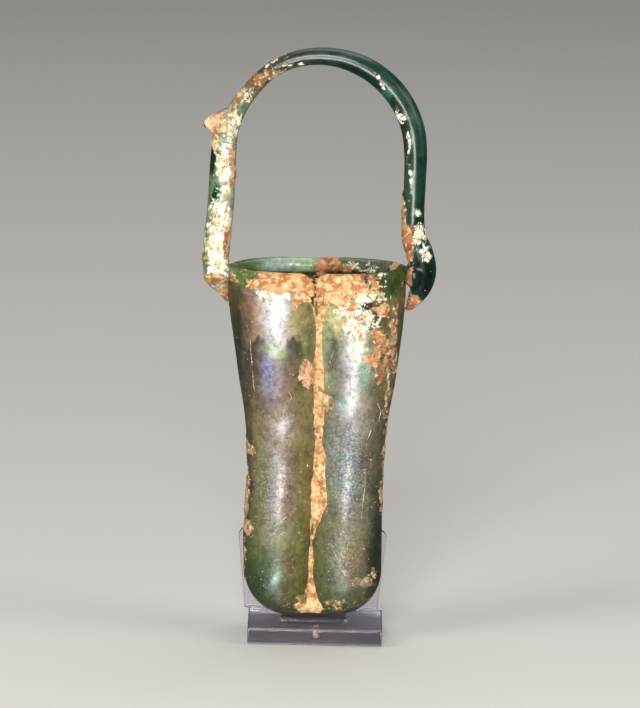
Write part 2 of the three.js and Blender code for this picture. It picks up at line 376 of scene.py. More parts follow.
# Each group is a region, a cover, a face and its patches: x, height, half width, half height, and
# then, where they are given, the amount, the colour and the turn.
PATCH_GROUPS = (
    # The film on the front of the tubes, broad areas before small ones, with painted shade along the
    # tubes' edges and painted highlights.
    (Region.BODY, Cover.TINT, Face.FRONT, (
        (-12, 60, 10, 44, 0.95, "#74653a"),
        (-19.4, 93, 2.8, 8, 1.0, "#b0680c"),
        (-17.4, 88, 2.4, 5, 0.8, "#8a5a26"),
        (-17.4, 99, 2, 4, 0.7, "#8a6a66"),
        (-8.5, 92, 3.4, 7, 0.9, "#8e7a40"),
        (-5.2, 91, 2.0, 6, 0.9, "#a8934e"),
        (-4.4, 82, 1.8, 9, 0.8, "#66703c"),
        # Painted shade: the dark strips in this row and the next lie along the left tube's edge.
        (-20.6, 60, 1.5, 40, 0.95, "#1d2410"),
        (-23.6, 84, 1.9, 18, 1.0, "#151c0c"),
        (-12, 60, 6, 10, 0.8, "#7c6e38"),
        (-4.6, 45, 2.8, 22, 0.9, "#7c6c28"),
        (-12, 20, 6, 6, 0.9, "#5a7434"),
        (-5, 20, 2.6, 8, 0.8, "#6c6c34"),
        (-8.6, 16.5, 2.2, 3, 0.8, "#64481e"),
        (-16.5, 12, 3, 9, 0.9, "#123c18"),
        (12, 60, 10, 44, 0.95, "#6a6234"),
        (12, 96, 8, 7, 0.9, "#a89a64"),
        (3.4, 88, 2.2, 8, 0.95, "#b0bd8c"),
        (5.8, 90, 2.0, 5.4, 0.95, "#ddd498"),
        (2.8, 78, 1.6, 7, 0.95, "#a4b590"),
        (7.0, 78, 2.8, 7, 0.9, "#4b4a2e"),
        (5.4, 84, 1.2, 2.2, 0.95, "#2c3222"),
        (4.2, 78.5, 0.9, 1.8, 0.9, "#2e3324"),
        (16.4, 92, 4, 5, 0.9, "#34361e"),
        (12.4, 96, 2.0, 1.6, 0.9, "#2c3a2c"),
        (21.4, 100.6, 2.4, 2.2, 0.9, "#24401c"),
        (16.8, 66, 2.4, 9, 0.9, "#4f4a1a"),
        # Painted shade along the right tube's edge.
        (18.2, 50, 2.6, 18, 0.95, "#3c3a12"),
        # The three grey patches here are the right tube's silvery film, painted lighter where the
        # light is mirrored.
        (9.5, 55, 5, 9, 0.9, "#85847c"),
        (9.6, 43, 4.4, 8, 0.9, "#7f8c84"),
        (11, 33, 4, 7, 0.8, "#84806e"),
        (14.6, 66, 1.6, 2.2, 0.85, "#8c5f30"),
        (12.4, 63.6, 2, 1.6, 0.6, "#8c6a40"),
        (16, 47, 2.4, 8, 0.8, "#55461a"),
        (7.5, 18, 3.4, 8, 0.9, "#7c8060"),
        (11.5, 19.6, 3.2, 3.0, 0.7, "#8c6a48"),
        (3.4, 18, 1.8, 9, 0.7, "#58643a"),
        # Painted shade along the right tube's edge, low down.
        (18.6, 22, 2.4, 14, 0.95, "#0a2414"),
        # Painted highlight: these white and near-white patches lie where the light is mirrored on
        # the left tube.
        (-12.8, 94.6, 2.9, 8.6, 1.0, "#ffffff"),
        (-12.6, 91, 2.0, 6, 1.0, "#ffffff"),
        (-13.4, 100.4, 3.8, 1.6, 0.8, "#e4d9c0"),
    )),
    (Region.BODY, Cover.DARK_BAND, Face.FRONT, (
        # The first three end the painted highlight on the left tube with crisp dark upper edges.
        (-17.0, 86.8, 2.9, 22, 1.0, "#1c150a"),
        (-12.2, 84.8, 3.0, 18, 0.95, "#2a2216"),
        (-7.4, 87.2, 2.9, 22, 1.0, "#1e180c"),
        (-9.5, 53, 6, 12, 0.4, "#4a3f24"),
        (9.2, 86.6, 3.2, 8, 0.6, "#3a3a26"),
    )),
    # Painted highlights and reflections down the middle of each tube: the white and near-white
    # patches are painted highlights, and the pale green, violet, mauve, silver and blue-green ones
    # are the film's own iridescence, painted brighter where the light is mirrored.
    (Region.BODY, Cover.TINT, Face.FRONT, (
        (-12.4, 82.6, 1.5, 1.9, 0.95, "#dcead2"),
        (-14.5, 83.6, 0.9, 1.2, 0.85, "#8aa83e"),
        (-10.8, 80.6, 1.2, 1.5, 0.8, "#93a84a"),
        (-14.6, 76, 1.3, 4.4, 0.95, "#938ac6"),
        (-14.2, 70, 1.6, 3.0, 0.5, "#807a98"),
        (-11.8, 74, 1.4, 6, 0.6, "#a58fa0"),
        (-7.2, 74, 2.2, 3, 0.6, "#7c5f48"),
        (-9.8, 60, 3.2, 5.4, 0.6, "#a8907c"),
        (-9.6, 59, 1.5, 1.9, 1.0, "#fff2f4"),
        (-12.2, 42, 3.2, 12, 0.9, "#a3918c"),
        (-11.8, 46, 1.4, 5, 0.6, "#b4adaa"),
        (-12.6, 36.5, 1.3, 3.6, 0.7, "#a9b4ae"),
        (-8.0, 42, 1.3, 12, 0.8, "#7d5a52"),
        (-15.8, 40, 1.6, 12, 0.6, "#6d7a38"),
        (-11.6, 26, 3.6, 4, 0.6, "#8c8f74"),
        (-11.8, 11.4, 0.9, 2.2, 0.9, "#bcdccf"),
        # Painted highlight: a white streak down the right tube.
        (12.0, 84, 2.2, 5, 1.0, "#fffdf0"),
        (11.4, 75, 1.9, 8, 1.0, "#ffffff"),
        (10.0, 67, 1.6, 4.6, 0.95, "#ffffff"),
        (14.4, 76, 1.2, 5, 0.85, "#86b09c"),
        (14.0, 84, 1.2, 4, 0.7, "#d8d39a"),
        (8.0, 66, 1.2, 2.6, 0.8, "#97aaae"),
        (10.2, 50, 1.6, 6, 0.6, "#858c90"),
        (8.6, 42, 1.6, 1.8, 0.5, "#4f7d8c"),
        (9.4, 11.6, 1.4, 3.0, 0.6, "#8fa088"),
    )),
    # The film on the back, in broader areas.
    (Region.BODY, Cover.TINT, Face.BACK, (
        (-12, 58, 10, 40, 0.9, "#66592f"),
        (12, 60, 10, 40, 0.9, "#5f5a38"),
        # Painted shade: the dark strips in this row and the next lie along the tubes' edges.
        (-20.6, 60, 1.7, 40, 0.95, "#252c18"),
        (19, 50, 2, 30, 0.9, "#34380f"),
        (-13, 92, 5, 7, 0.8, "#8a6228"),
        (13, 93, 6, 7, 0.8, "#8a8058"),
        (-12, 22, 6, 7, 0.8, "#4f6338"),
        (12, 22, 6, 8, 0.8, "#55603a"),
    )),
    (Region.BODY, Cover.DARK_BAND, Face.BACK, (
        (-10, 80, 8, 13, 0.9, "#33291a"),
        (13, 66, 6, 12, 0.8, "#38301c"),
    )),
    (Region.BODY, Cover.TINT, Face.BACK, (
        (-11, 42, 3.6, 12, 0.8, "#a79c90"),
        (12, 76, 2.4, 9, 0.8, "#8d86a8"),
        (11, 40, 4, 10, 0.7, "#7f8f8c"),
        (-12, 62, 2.4, 7, 0.6, "#7a74a8"),
    )),
    # Soil, lime and pearly film on the front.
    (Region.BODY, Cover.SOIL, Face.FRONT, (
        (-10.5, 103.2, 11.5, 2.6, 1.0, "#dda660"),
        (7.6, 103.0, 10, 2.8, 1.0, "#e6b274"),
        (-0.4, 101, 4.4, 3.4, 1.0, "#eab878"),
        (-4.4, 99.5, 2.0, 3.8, 0.95, "#e2ae74", 22),
        (5.6, 99.8, 3.2, 4, 0.95, "#e6b678", -25),
        (11, 97.5, 1.6, 1.6, 0.6, "#c07f42"),
        (12.4, 93.6, 2.6, 1.1, 0.6, "#c89458", 35),
        (17.2, 96.2, 1.4, 2.8, 0.6, "#bb8448", -30),
        (19.8, 95.5, 1.5, 2.4, 0.9, "#d0a064"),
        (18.4, 87, 2.6, 4, 0.66, "#c08446"),
        (17, 80.6, 2.2, 3.6, 0.7, "#c98a4c", 25),
        (20.6, 81, 2.6, 8, 0.62, "#b07a40"),
        (18.6, 75, 1.8, 3.4, 0.62, "#b07840"),
        (22.9, 84, 1.3, 14, 0.86, "#a98356"),
        (21.4, 70, 1.0, 8, 0.8, "#8f7a4a"),
        (20.5, 60, 0.8, 5, 0.66, "#9a8452"),
        # Painted shade: a dark line in the crack at the top of the fold.
        (-0.9, 98.6, 0.36, 3.4, 1.0, "#2c1c0c"),
        (-3.2, 75.4, 1.8, 3.2, 1.0, "#d9c4a8"),
        (-2.2, 75, 1.2, 4.6, 0.95, "#dfae7c"),
        (3.0, 67.6, 1.8, 1.6, 1.0, "#cdb07c"),
        (3.2, 64.8, 1.8, 1.7, 1.0, "#bfa068"),
        (-20.2, 51, 1.6, 2.0, 0.95, "#b39468"),
        (-20.9, 44, 0.8, 6, 0.95, "#a98c5c"),
        (-20.9, 35, 1.2, 5, 1.0, "#b0926a"),
        (-20.2, 27.4, 1.7, 2.0, 1.0, "#b39468"),
        (-21.2, 18, 0.7, 7, 0.9, "#8f7a50"),
        (20.3, 50, 0.8, 1.8, 0.9, "#a98c5c"),
        (20.3, 42, 0.5, 6, 0.8, "#8a7a4c"),
        (20.1, 35.4, 1.3, 3.2, 1.0, "#b39468"),
        (10.6, 13.8, 1.6, 1.0, 0.72, "#8e7452", 30),
        (13.2, 12.0, 2.4, 1.3, 0.84, "#86745a", 30),
        (15.6, 11.0, 2.2, 1.6, 0.86, "#94846a"),
        (18.2, 13.6, 0.8, 2.2, 0.8, "#8c806a"),
        (6.1, 5.2, 2.4, 1.2, 0.9, "#9c8c66"),
        (-3.4, 5.2, 2.0, 1.8, 0.8, "#a8935c"),
    )),
    (Region.BODY, Cover.LIME, Face.FRONT, (
        (-15.8, 99.6, 2.2, 1.7, 0.62),
        (-9.4, 99.6, 1.8, 2.4, 0.58),
        (7.6, 98.6, 2.8, 3.6, 0.82),
        (6.6, 94, 1.8, 3.0, 0.7),
        (17.6, 89.4, 2.2, 2.6, 0.64),
        (13.6, 84.6, 2.8, 2.4, 0.64),
        (13.2, 99.6, 2.8, 3.4, 1.0),
        (10.0, 92.4, 3.4, 3.8, 0.95),
        (14.6, 93, 3.2, 2.6, 0.84),
        (12.6, 88.6, 4.0, 2.6, 0.88),
        (17.6, 99.2, 3.4, 2.2, 0.8),
        (17.4, 93.6, 2.8, 2.8, 0.66),
        (11.9, 82, 1.6, 4.4, 0.62),
        (11.0, 72, 1.1, 6, 0.56),
    )),
    (Region.BODY, Cover.PEARL, Face.FRONT, (
        (-12.8, 94, 3.2, 9, 1.0),
        (-13.6, 77, 2.2, 8, 0.7),
        (-9.8, 60, 3.4, 6, 0.8),
        (-12, 42, 4.4, 13, 1.0),
        (11.4, 76, 3.4, 13, 0.9),
        (10, 48, 5.2, 16, 1.0),
        (-12, 14, 4, 8, 0.4),
        (9, 20, 5, 9, 0.7),
    )),
    # Soil, lime and pearly film on the back.
    (Region.BODY, Cover.SOIL, Face.BACK, (
        (-4, 100, 2.6, 5, 0.9, "", 15),
        (5, 99, 2.6, 5, 0.9, "", -20),
        (-12, 103.6, 13, 1.6, 1.0, "#d9a062"),
        (13, 103.4, 12, 1.8, 1.0, "#d0a064"),
        (-19, 88, 2.4, 8, 0.72, "#b3763c"),
        (18, 92, 4, 5, 0.7, "#b3763c"),
        (-20.6, 50, 1.5, 6, 0.9, "#b0926a"),
        (19.8, 44, 1.6, 5, 0.8, "#b0926a"),
        (-20.4, 22, 1.6, 8, 0.9, "#a88a68"),
        (14, 24, 3, 3, 0.6, "#a88a68"),
        (-10, 68, 3, 2.4, 0.62, "#b5733a"),
        (0, 4, 6, 2.2, 0.9, "#9c8c66"),
    )),
    (Region.BODY, Cover.LIME, Face.BACK, (
        (-11, 96, 5, 5, 0.68),
        (10, 95, 5, 6, 0.7),
        (-12, 84, 3, 5, 0.56),
        (12, 60, 2.4, 9, 0.52),
        (-12, 40, 3.4, 10, 0.5),
        (11, 14, 3, 3, 0.56),
        (8, 30, 0.5, 6, 0.6, "", 40),
    )),
    (Region.BODY, Cover.PEARL, Face.BACK, (
        (-12, 60, 6, 20, 0.9),
        (12, 70, 6, 16, 0.9),
        (12, 34, 6, 14, 0.9),
        (-12, 26, 5, 12, 0.8),
    )),
    # A clean spot on the right shoulder.
    (Region.BODY, Cover.CLEAR, Face.FRONT, (
        (15.2, 97.2, 2.1, 1.6, 0.95, "", 25),
    )),
    # The rim. Its far roll is painted a lighter green where the light falls on it, and the
    # near-white stripe along it is a painted highlight.
    (Region.RIM, Cover.TINT, Face.BOTH, (
        (-12, 104, 13, 6, 0.95, "#6fae74"),
        # Painted highlight on the far roll.
        (-11, 104.8, 6, 1.6, 0.95, "#e2f0ee"),
        (-4.4, 104.6, 3.4, 5, 0.95, "#c6e4b8"),
        (16, 104, 10, 6, 0.9, "#4b5a30"),
        (-21, 104, 4, 6, 0.9, "#5a6a30"),
        (22.5, 103, 3, 4, 0.9, "#36481e"),
    )),
    (Region.RIM, Cover.SOIL, Face.FRONT, (
        (-7.5, 103, 12.5, 5.4, 1.0, "#dba65e"),
        (6, 103, 10, 5.4, 1.0, "#e0b068"),
        (-26, 103, 2, 3, 0.8, "#b39468"),
        (16, 103.4, 4, 3.2, 0.66, "#b87c44"),
        # Painted shade: the same crack running up into the rim, drawn dark.
        (-0.9, 102.0, 0.4, 3.4, 1.0, "#241709"),
    )),
    (Region.RIM, Cover.SOIL, Face.BACK, (
        (3.2, 104, 4.0, 4.5, 1.0, "#c98a55"),
        (9, 103, 3.0, 2.6, 0.8, "#c58a50"),
        (24.6, 105, 3, 2.6, 0.8, "#c9a070"),
        (-26, 105, 2.4, 3, 0.9, "#b39468"),
    )),
    (Region.RIM, Cover.LIME, Face.BACK, (
        (10.6, 105.4, 2.4, 1.8, 0.82),
        (-7.6, 104.8, 0.8, 0.9, 0.9),
        (14, 104, 4, 2, 0.56),
        (2.8, 106.4, 2.4, 0.6, 0.7),
    )),
    (Region.RIM, Cover.LIME, Face.FRONT, (
        (12.6, 103.2, 3.4, 2.6, 0.7),
        (18, 103.5, 3, 2.6, 0.66),
    )),
    (Region.RIM, Cover.PEARL, Face.BACK, (
        (-12, 104.6, 7, 3, 0.4),
        (17, 104.6, 6, 3, 0.4),
    )),
    # The handle.
    (Region.HANDLE, Cover.TINT, Face.BOTH, (
        (-29, 125, 6, 26, 0.95, "#788a5e"),
        (-32.2, 137, 1.8, 9, 0.95, "#34502c"),
        (-27.4, 143.5, 1.6, 2, 0.9, "#6fae8c"),
        (-9, 167.6, 10, 4, 0.95, "#45462c"),
        (-12, 167.4, 6, 0.9, 0.9, "#26241a", -22),
        (-20, 160, 5, 5, 0.8, "#7a6a42"),
        (31.5, 104.5, 4.4, 7, 1.0, "#010c06"),
    )),
    (Region.HANDLE, Cover.TINT, Face.FRONT, (
        (-28.4, 127, 2.5, 24, 0.95, "#c8cab8", 3),
        (-31.0, 139.5, 1.4, 4.0, 1.0, "#2f6430"),
        (-30.7, 128.6, 1.4, 2.8, 1.0, "#2a6444"),
        (-28.0, 143.4, 1.3, 1.8, 0.9, "#74a896"),
        # Painted highlight, partly the rod's own pale film: the pale green band down the right leg,
        # the streak along the arch and the grey-green at its top.
        (27.0, 140, 1.2, 18, 0.9, "#7f9a74"),
        (20.5, 161, 1.3, 8, 0.7, "#64856a", -50),
        (3, 169.6, 9, 1.0, 0.8, "#82968e"),
    )),
    (Region.HANDLE, Cover.LIME, Face.BOTH, (
        (-28.0, 136, 2.3, 11, 0.9, "", 2),
        (-29.5, 115, 3.8, 13, 1.0, "", 4),
        (-26.6, 149.5, 2.6, 5, 0.95, "", 20),
        (-22, 159, 1.8, 3.6, 0.66, "", 40),
        (-13, 168.6, 5, 0.5, 0.76, "", -22),
        (-7, 167.4, 5, 0.4, 0.7, "", -10),
        (-13, 164.4, 5, 0.5, 0.72, "", -26),
        (24.4, 152.8, 1.2, 3.0, 0.86, "", -20),
        (26.6, 146.5, 0.6, 2.4, 0.74),
        (29.8, 123.2, 0.7, 1.2, 0.95),
        (30.4, 116.4, 2.0, 3.6, 0.86),
        (32.4, 111, 1.7, 3.0, 0.76),
    )),
    (Region.HANDLE, Cover.LIME, Face.FRONT, (
        # Partly lime and partly painted highlight: thin streaks along the right leg and the arch.
        (26.9, 142, 0.6, 12, 0.5),
        (27.4, 132, 0.5, 7, 0.62),
        (17, 164, 6, 0.7, 0.48, "", 60),
    )),
    (Region.HANDLE, Cover.SOIL, Face.BOTH, (
        (-25.6, 138, 0.9, 8, 0.9, "#b5926a"),
        (-26.9, 113, 1.2, 6, 0.95, "#b8936a"),
        (-18.6, 163.2, 3.4, 2.0, 0.9, "#96683a"),
        (-14, 164.9, 3, 0.9, 0.8, "#8a6a40"),
        (-24, 157, 1.0, 5, 0.7, "#b08a5c", 30),
        (-31.6, 151, 3.6, 5, 1.0, "#d6b088"),
        (-33.4, 150, 1.2, 2.0, 0.8, "#e8cf9c"),
        (-30.8, 144, 1.2, 3, 0.8, "#d8bf92"),
        (-30.5, 102.6, 4.0, 2.0, 0.9, "#a98040"),
        (-26.5, 97, 3.4, 4.6, 1.0, "#a88a5c"),
        (-34.4, 108.4, 1.0, 1.2, 0.9, "#b39468"),
        (25.4, 121, 0.9, 8, 1.0, "#a8804e"),
        (27.0, 113, 2.0, 6, 1.0, "#b07a42"),
        (28.6, 95.5, 3.6, 3.4, 1.0, "#b58550"),
        (27.2, 103, 1.2, 3.6, 0.9, "#a87a46"),
    )),
    (Region.HANDLE, Cover.CLEAR, Face.BOTH, (
        (0, 172, 11, 6),
        (16, 168, 13, 8),
        (27, 153, 6, 14),
        (29.5, 133, 5, 16),
        (-32.2, 139, 1.5, 5, 0.9),
        (-31.4, 128, 1.0, 3, 0.8),
        (-28.4, 112, 0.9, 3.4, 0.8),
        (-28, 143.4, 1.2, 1.6, 0.7),
    )),
)

PATCHES = [
    Patch(cover, region, face, *row)
    for region, cover, face, rows in PATCH_GROUPS
    for row in rows
]


# ---- The flask's form --------------------------------------------------------------------


@dataclass(frozen=True)
class TubeForm:
    """The outside of the two tubes taken together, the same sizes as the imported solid's.

    Each station is a height with half width, half depth, spread from the middle to one tube's
    middle, shift of the whole section and shift of the fold alone. flat is the bottom's half
    width and half depth, and its spread as a share of the half width.
    """

    rim_height: float = 104.6
    heel: float = 13.5
    flat: tuple[float, float, float] = (7.5, 3.5, 0.42)
    stations: tuple = (
        (13.5, 20.7, 10.3, 10.1, -0.5, -0.7),
        (28, 20.7, 10.5, 10.1, -0.5, -0.3),
        (47, 20.3, 10.3, 9.9, 0, 0.7),
        (60, 21.5, 11.1, 10.3, 0.2, 0.7),
        (72, 23.5, 12.3, 11.2, 0.2, 0.6),
        (84, 25.1, 13.5, 12.0, 0.1, 0.6),
        (93, 26.2, 14.2, 12.1, 0, 0.8),
        (100, 26.5, 14.5, 11.2, 0, 1),
        (104.6, 26.2, 14.6, 9.4, 0, 1),
    )

    def section(self, height: Array) -> Array:
        """Reads the section at each height.

        Args:
            height: heights above the flask's bottom.

        Returns:
            Rows of half width, half depth, spread, shift and fold.
        """
        table = np.array(self.stations, float)
        full = smooth_table(table[:, 0], table[:, 1:], height)
        level = np.clip(1 - height / self.heel, 0, 1)
        out = np.sqrt(1 - level**2)
        width = self.flat[0] + (full[:, 0] - self.flat[0]) * out
        depth = self.flat[1] + (full[:, 1] - self.flat[1]) * out
        pinch = self.flat[2] + (full[:, 2] / full[:, 0] - self.flat[2]) * out
        return np.column_stack([width, depth, width * pinch, full[:, 3], full[:, 4]])

    def placed(self, x: Array, y: Array, height: Array) -> Array:
        """Moves points of a true section as the hand-blown one is shifted.

        Args:
            x: distance from the section's middle.
            y: depth.
            height: height above the flask's bottom.

        Returns:
            Points in the flask's own frame.
        """
        now = self.section(height)
        near_fold = 1 - (x / now[:, 0]) ** 2
        return np.column_stack([x + now[:, 3] + now[:, 4] * near_fold, y, height])

    def depth_at(self, x: Array, height: Array) -> Array:
        """Tells how far from the middle plane the tubes' surface is.

        Args:
            x: distance from the section's middle.
            height: height above the flask's bottom.

        Returns:
            The depth at each place.
        """
        now = self.section(height)
        reach = now[:, 0] - now[:, 2]
        across = np.clip((np.abs(x) - now[:, 2]) / reach, -1, 1)
        return now[:, 1] * np.sqrt(1 - across**2)

    def outline(self, heights: Array, sides: int) -> Array:
        """Draws both tubes together at each height.

        Args:
            heights: heights above the flask's bottom.
            sides: how many points an outline has.

        Returns:
            One closed outline for each height.
        """
        rings = []
        for height, now in zip(heights, self.section(heights)):
            reach = now[0] - now[2]
            crease = math.acos(-now[2] / reach)
            turn = crease * (np.arange(sides // 2) * 4 / sides - 1)
            x, y = now[2] + reach * np.cos(turn), now[1] * np.sin(turn)
            level = np.full(sides, height)
            rings.append(self.placed(np.r_[x, -x], np.r_[y, -y], level))
        return np.array(rings)

    def tube(self, side: int, heights: Array, insets: Array, sides: int) -> Array:
        """Draws the inside of one tube.

        Args:
            side: -1 for the left tube and 1 for the right.
            heights: heights above the flask's bottom.
            insets: how far each outline is inset from the outside.
            sides: how many points an outline has.

        Returns:
            One closed outline for each height.
        """
        rings = []
        turn = np.linspace(0, 2 * math.pi, sides, endpoint=False)
        for height, inset, now in zip(heights, insets, self.section(heights)):
            x = side * now[2] + (now[0] - now[2] - inset) * np.cos(turn)
            y = (now[1] - inset) * np.sin(turn)
            rings.append(self.placed(x, y, np.full(sides, height)))
        return np.array(rings)


@dataclass(frozen=True)
class HandleForm:
    """The basket handle's centre line and thickness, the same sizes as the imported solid's.

    dent is how deep the arch is dented, at what angle and over how much of it. left and right are
    the legs, in x and height. thickness gives the share of the way along and the rod's thickness.
    """

    radius: float = 28.6
    centre: tuple[float, float] = (0.3, 141.1)
    dent: tuple[float, float, float] = (1.1, 2.5, 0.35)
    left: tuple = ((-26, 95), (-28.2, 99.2), (-30.2, 103), (-30.5, 108), (-30, 115.5), (-29, 126))
    right: tuple = (
        (28.8, 132),
        (28.5, 122),
        (28.9, 115.5),
        (30.6, 110.5),
        (32, 105),
        (31, 100),
        (27.2, 93),
    )
    thickness: tuple = (
        (0, 1.4),
        (0.026, 4.4),
        (0.05, 7.2),
        (0.08, 7.6),
        (0.25, 7.5),
        (0.3, 6.6),
        (0.34, 5.3),
        (0.5, 5.3),
        (0.57, 6.3),
        (0.64, 7),
        (0.86, 7),
        (0.9, 8.2),
        (0.935, 7.2),
        (0.965, 5.6),
        (1, 1.2),
    )

    def knots(self) -> Array:
        """Draws the legs and the dented arch between them.

        Returns:
            The centre line's control points, in x and height.
        """
        turn = np.linspace(math.pi, 0, 13)
        sink = self.dent[0] * np.exp(-(((turn - self.dent[1]) / self.dent[2]) ** 2))
        radius = self.radius - sink
        x = self.centre[0] + radius * np.cos(turn)
        arch = np.column_stack([x, self.centre[1] + radius * np.sin(turn)])
        return np.vstack([self.left, arch, self.right])

    def line(self, count: int) -> tuple[Array, Array, Array]:
        """Walks the centripetal spline through the knots at even steps.

        Args:
            count: how many points.

        Returns:
            Points, unit tangents and half thicknesses.
        """
        knots = self.knots()
        held = np.vstack([2 * knots[0] - knots[1], knots, 2 * knots[-1] - knots[-2]])
        gap = np.linalg.norm(np.diff(held, axis=0), axis=1)[:, None] ** 0.5
        dense = []
        for i in range(1, len(held) - 2):
            a, b, c, d = held[i - 1 : i + 3]
            before, here, after = gap[i - 1], gap[i], gap[i + 1]
            start = (b - a) / before - (c - a) / (before + here) + (c - b) / here
            end = (c - b) / here - (d - b) / (here + after) + (d - c) / after
            p = np.linspace(0, 1, 60, endpoint=i == len(held) - 3)[:, None]
            dense.append(
                (2 * p**3 - 3 * p**2 + 1) * b
                + (p**3 - 2 * p**2 + p) * start * here
                + (3 * p**2 - 2 * p**3) * c
                + (p**3 - p**2) * end * here
            )
        path = np.vstack(dense)
        walked = np.r_[0, np.cumsum(np.linalg.norm(np.diff(path, axis=0), axis=1))]
        along = np.linspace(0, walked[-1], count)
        points = np.column_stack([np.interp(along, walked, path[:, n]) for n in range(2)])
        tangents = np.gradient(points, axis=0)
        tangents /= np.linalg.norm(tangents, axis=1)[:, None]
        table = np.array(self.thickness, float)
        half = smooth_table(table[:, 0], table[:, 1:], along / walked[-1])[:, 0] / 2
        return points, tangents, half


@dataclass(frozen=True)
class Fineness:
    """How many points and rings the flask's curves are made of."""

    outline: int = 232
    heel_rings: int = 26
    wall_rings: int = 168
    tube: int = 60
    tube_bottom_rings: int = 8
    tube_wall_rings: int = 64
    septum_rings: int = 30
    rim_rings: int = 220
    bead: int = 26
    rod: int = 34
    rod_rings: int = 420
    stub_rings: int = 16
    pad: int = 40
    pad_rings: int = 24
    handle_voxel: float = 0.5  # mm


@dataclass(frozen=True)
class Weathering:
    """How far the covers stand proud of the glass, and how ragged they are."""

    edge_size: float = 5.0  # mm, of the lumps that a patch's edge follows
    edge_wander: float = 3.2  # mm, from one side to the other
    grain_size: float = 1.8  # mm, of the crumbs that soil and lime break up in
    grain_share: float = 0.75
    soil_rise: tuple[float, float] = (0.12, 0.5)  # mm everywhere, and more on the lumps
    lime_rise: tuple[float, float] = (0.08, 0.16)
    lump_size: float = 1.3
    wall_size: float = 14.0  # mm, of the slow wander of a wall blown by hand
    wall_wander: float = 0.35
    inside_rise: float = 0.12
    ridge_rise: float = 0.7  # of the trail drawn out under the left end of the rim
    ridge_half: float = 0.7
    ridge_height: float = 100.6
    ridge_slope: float = 0.12


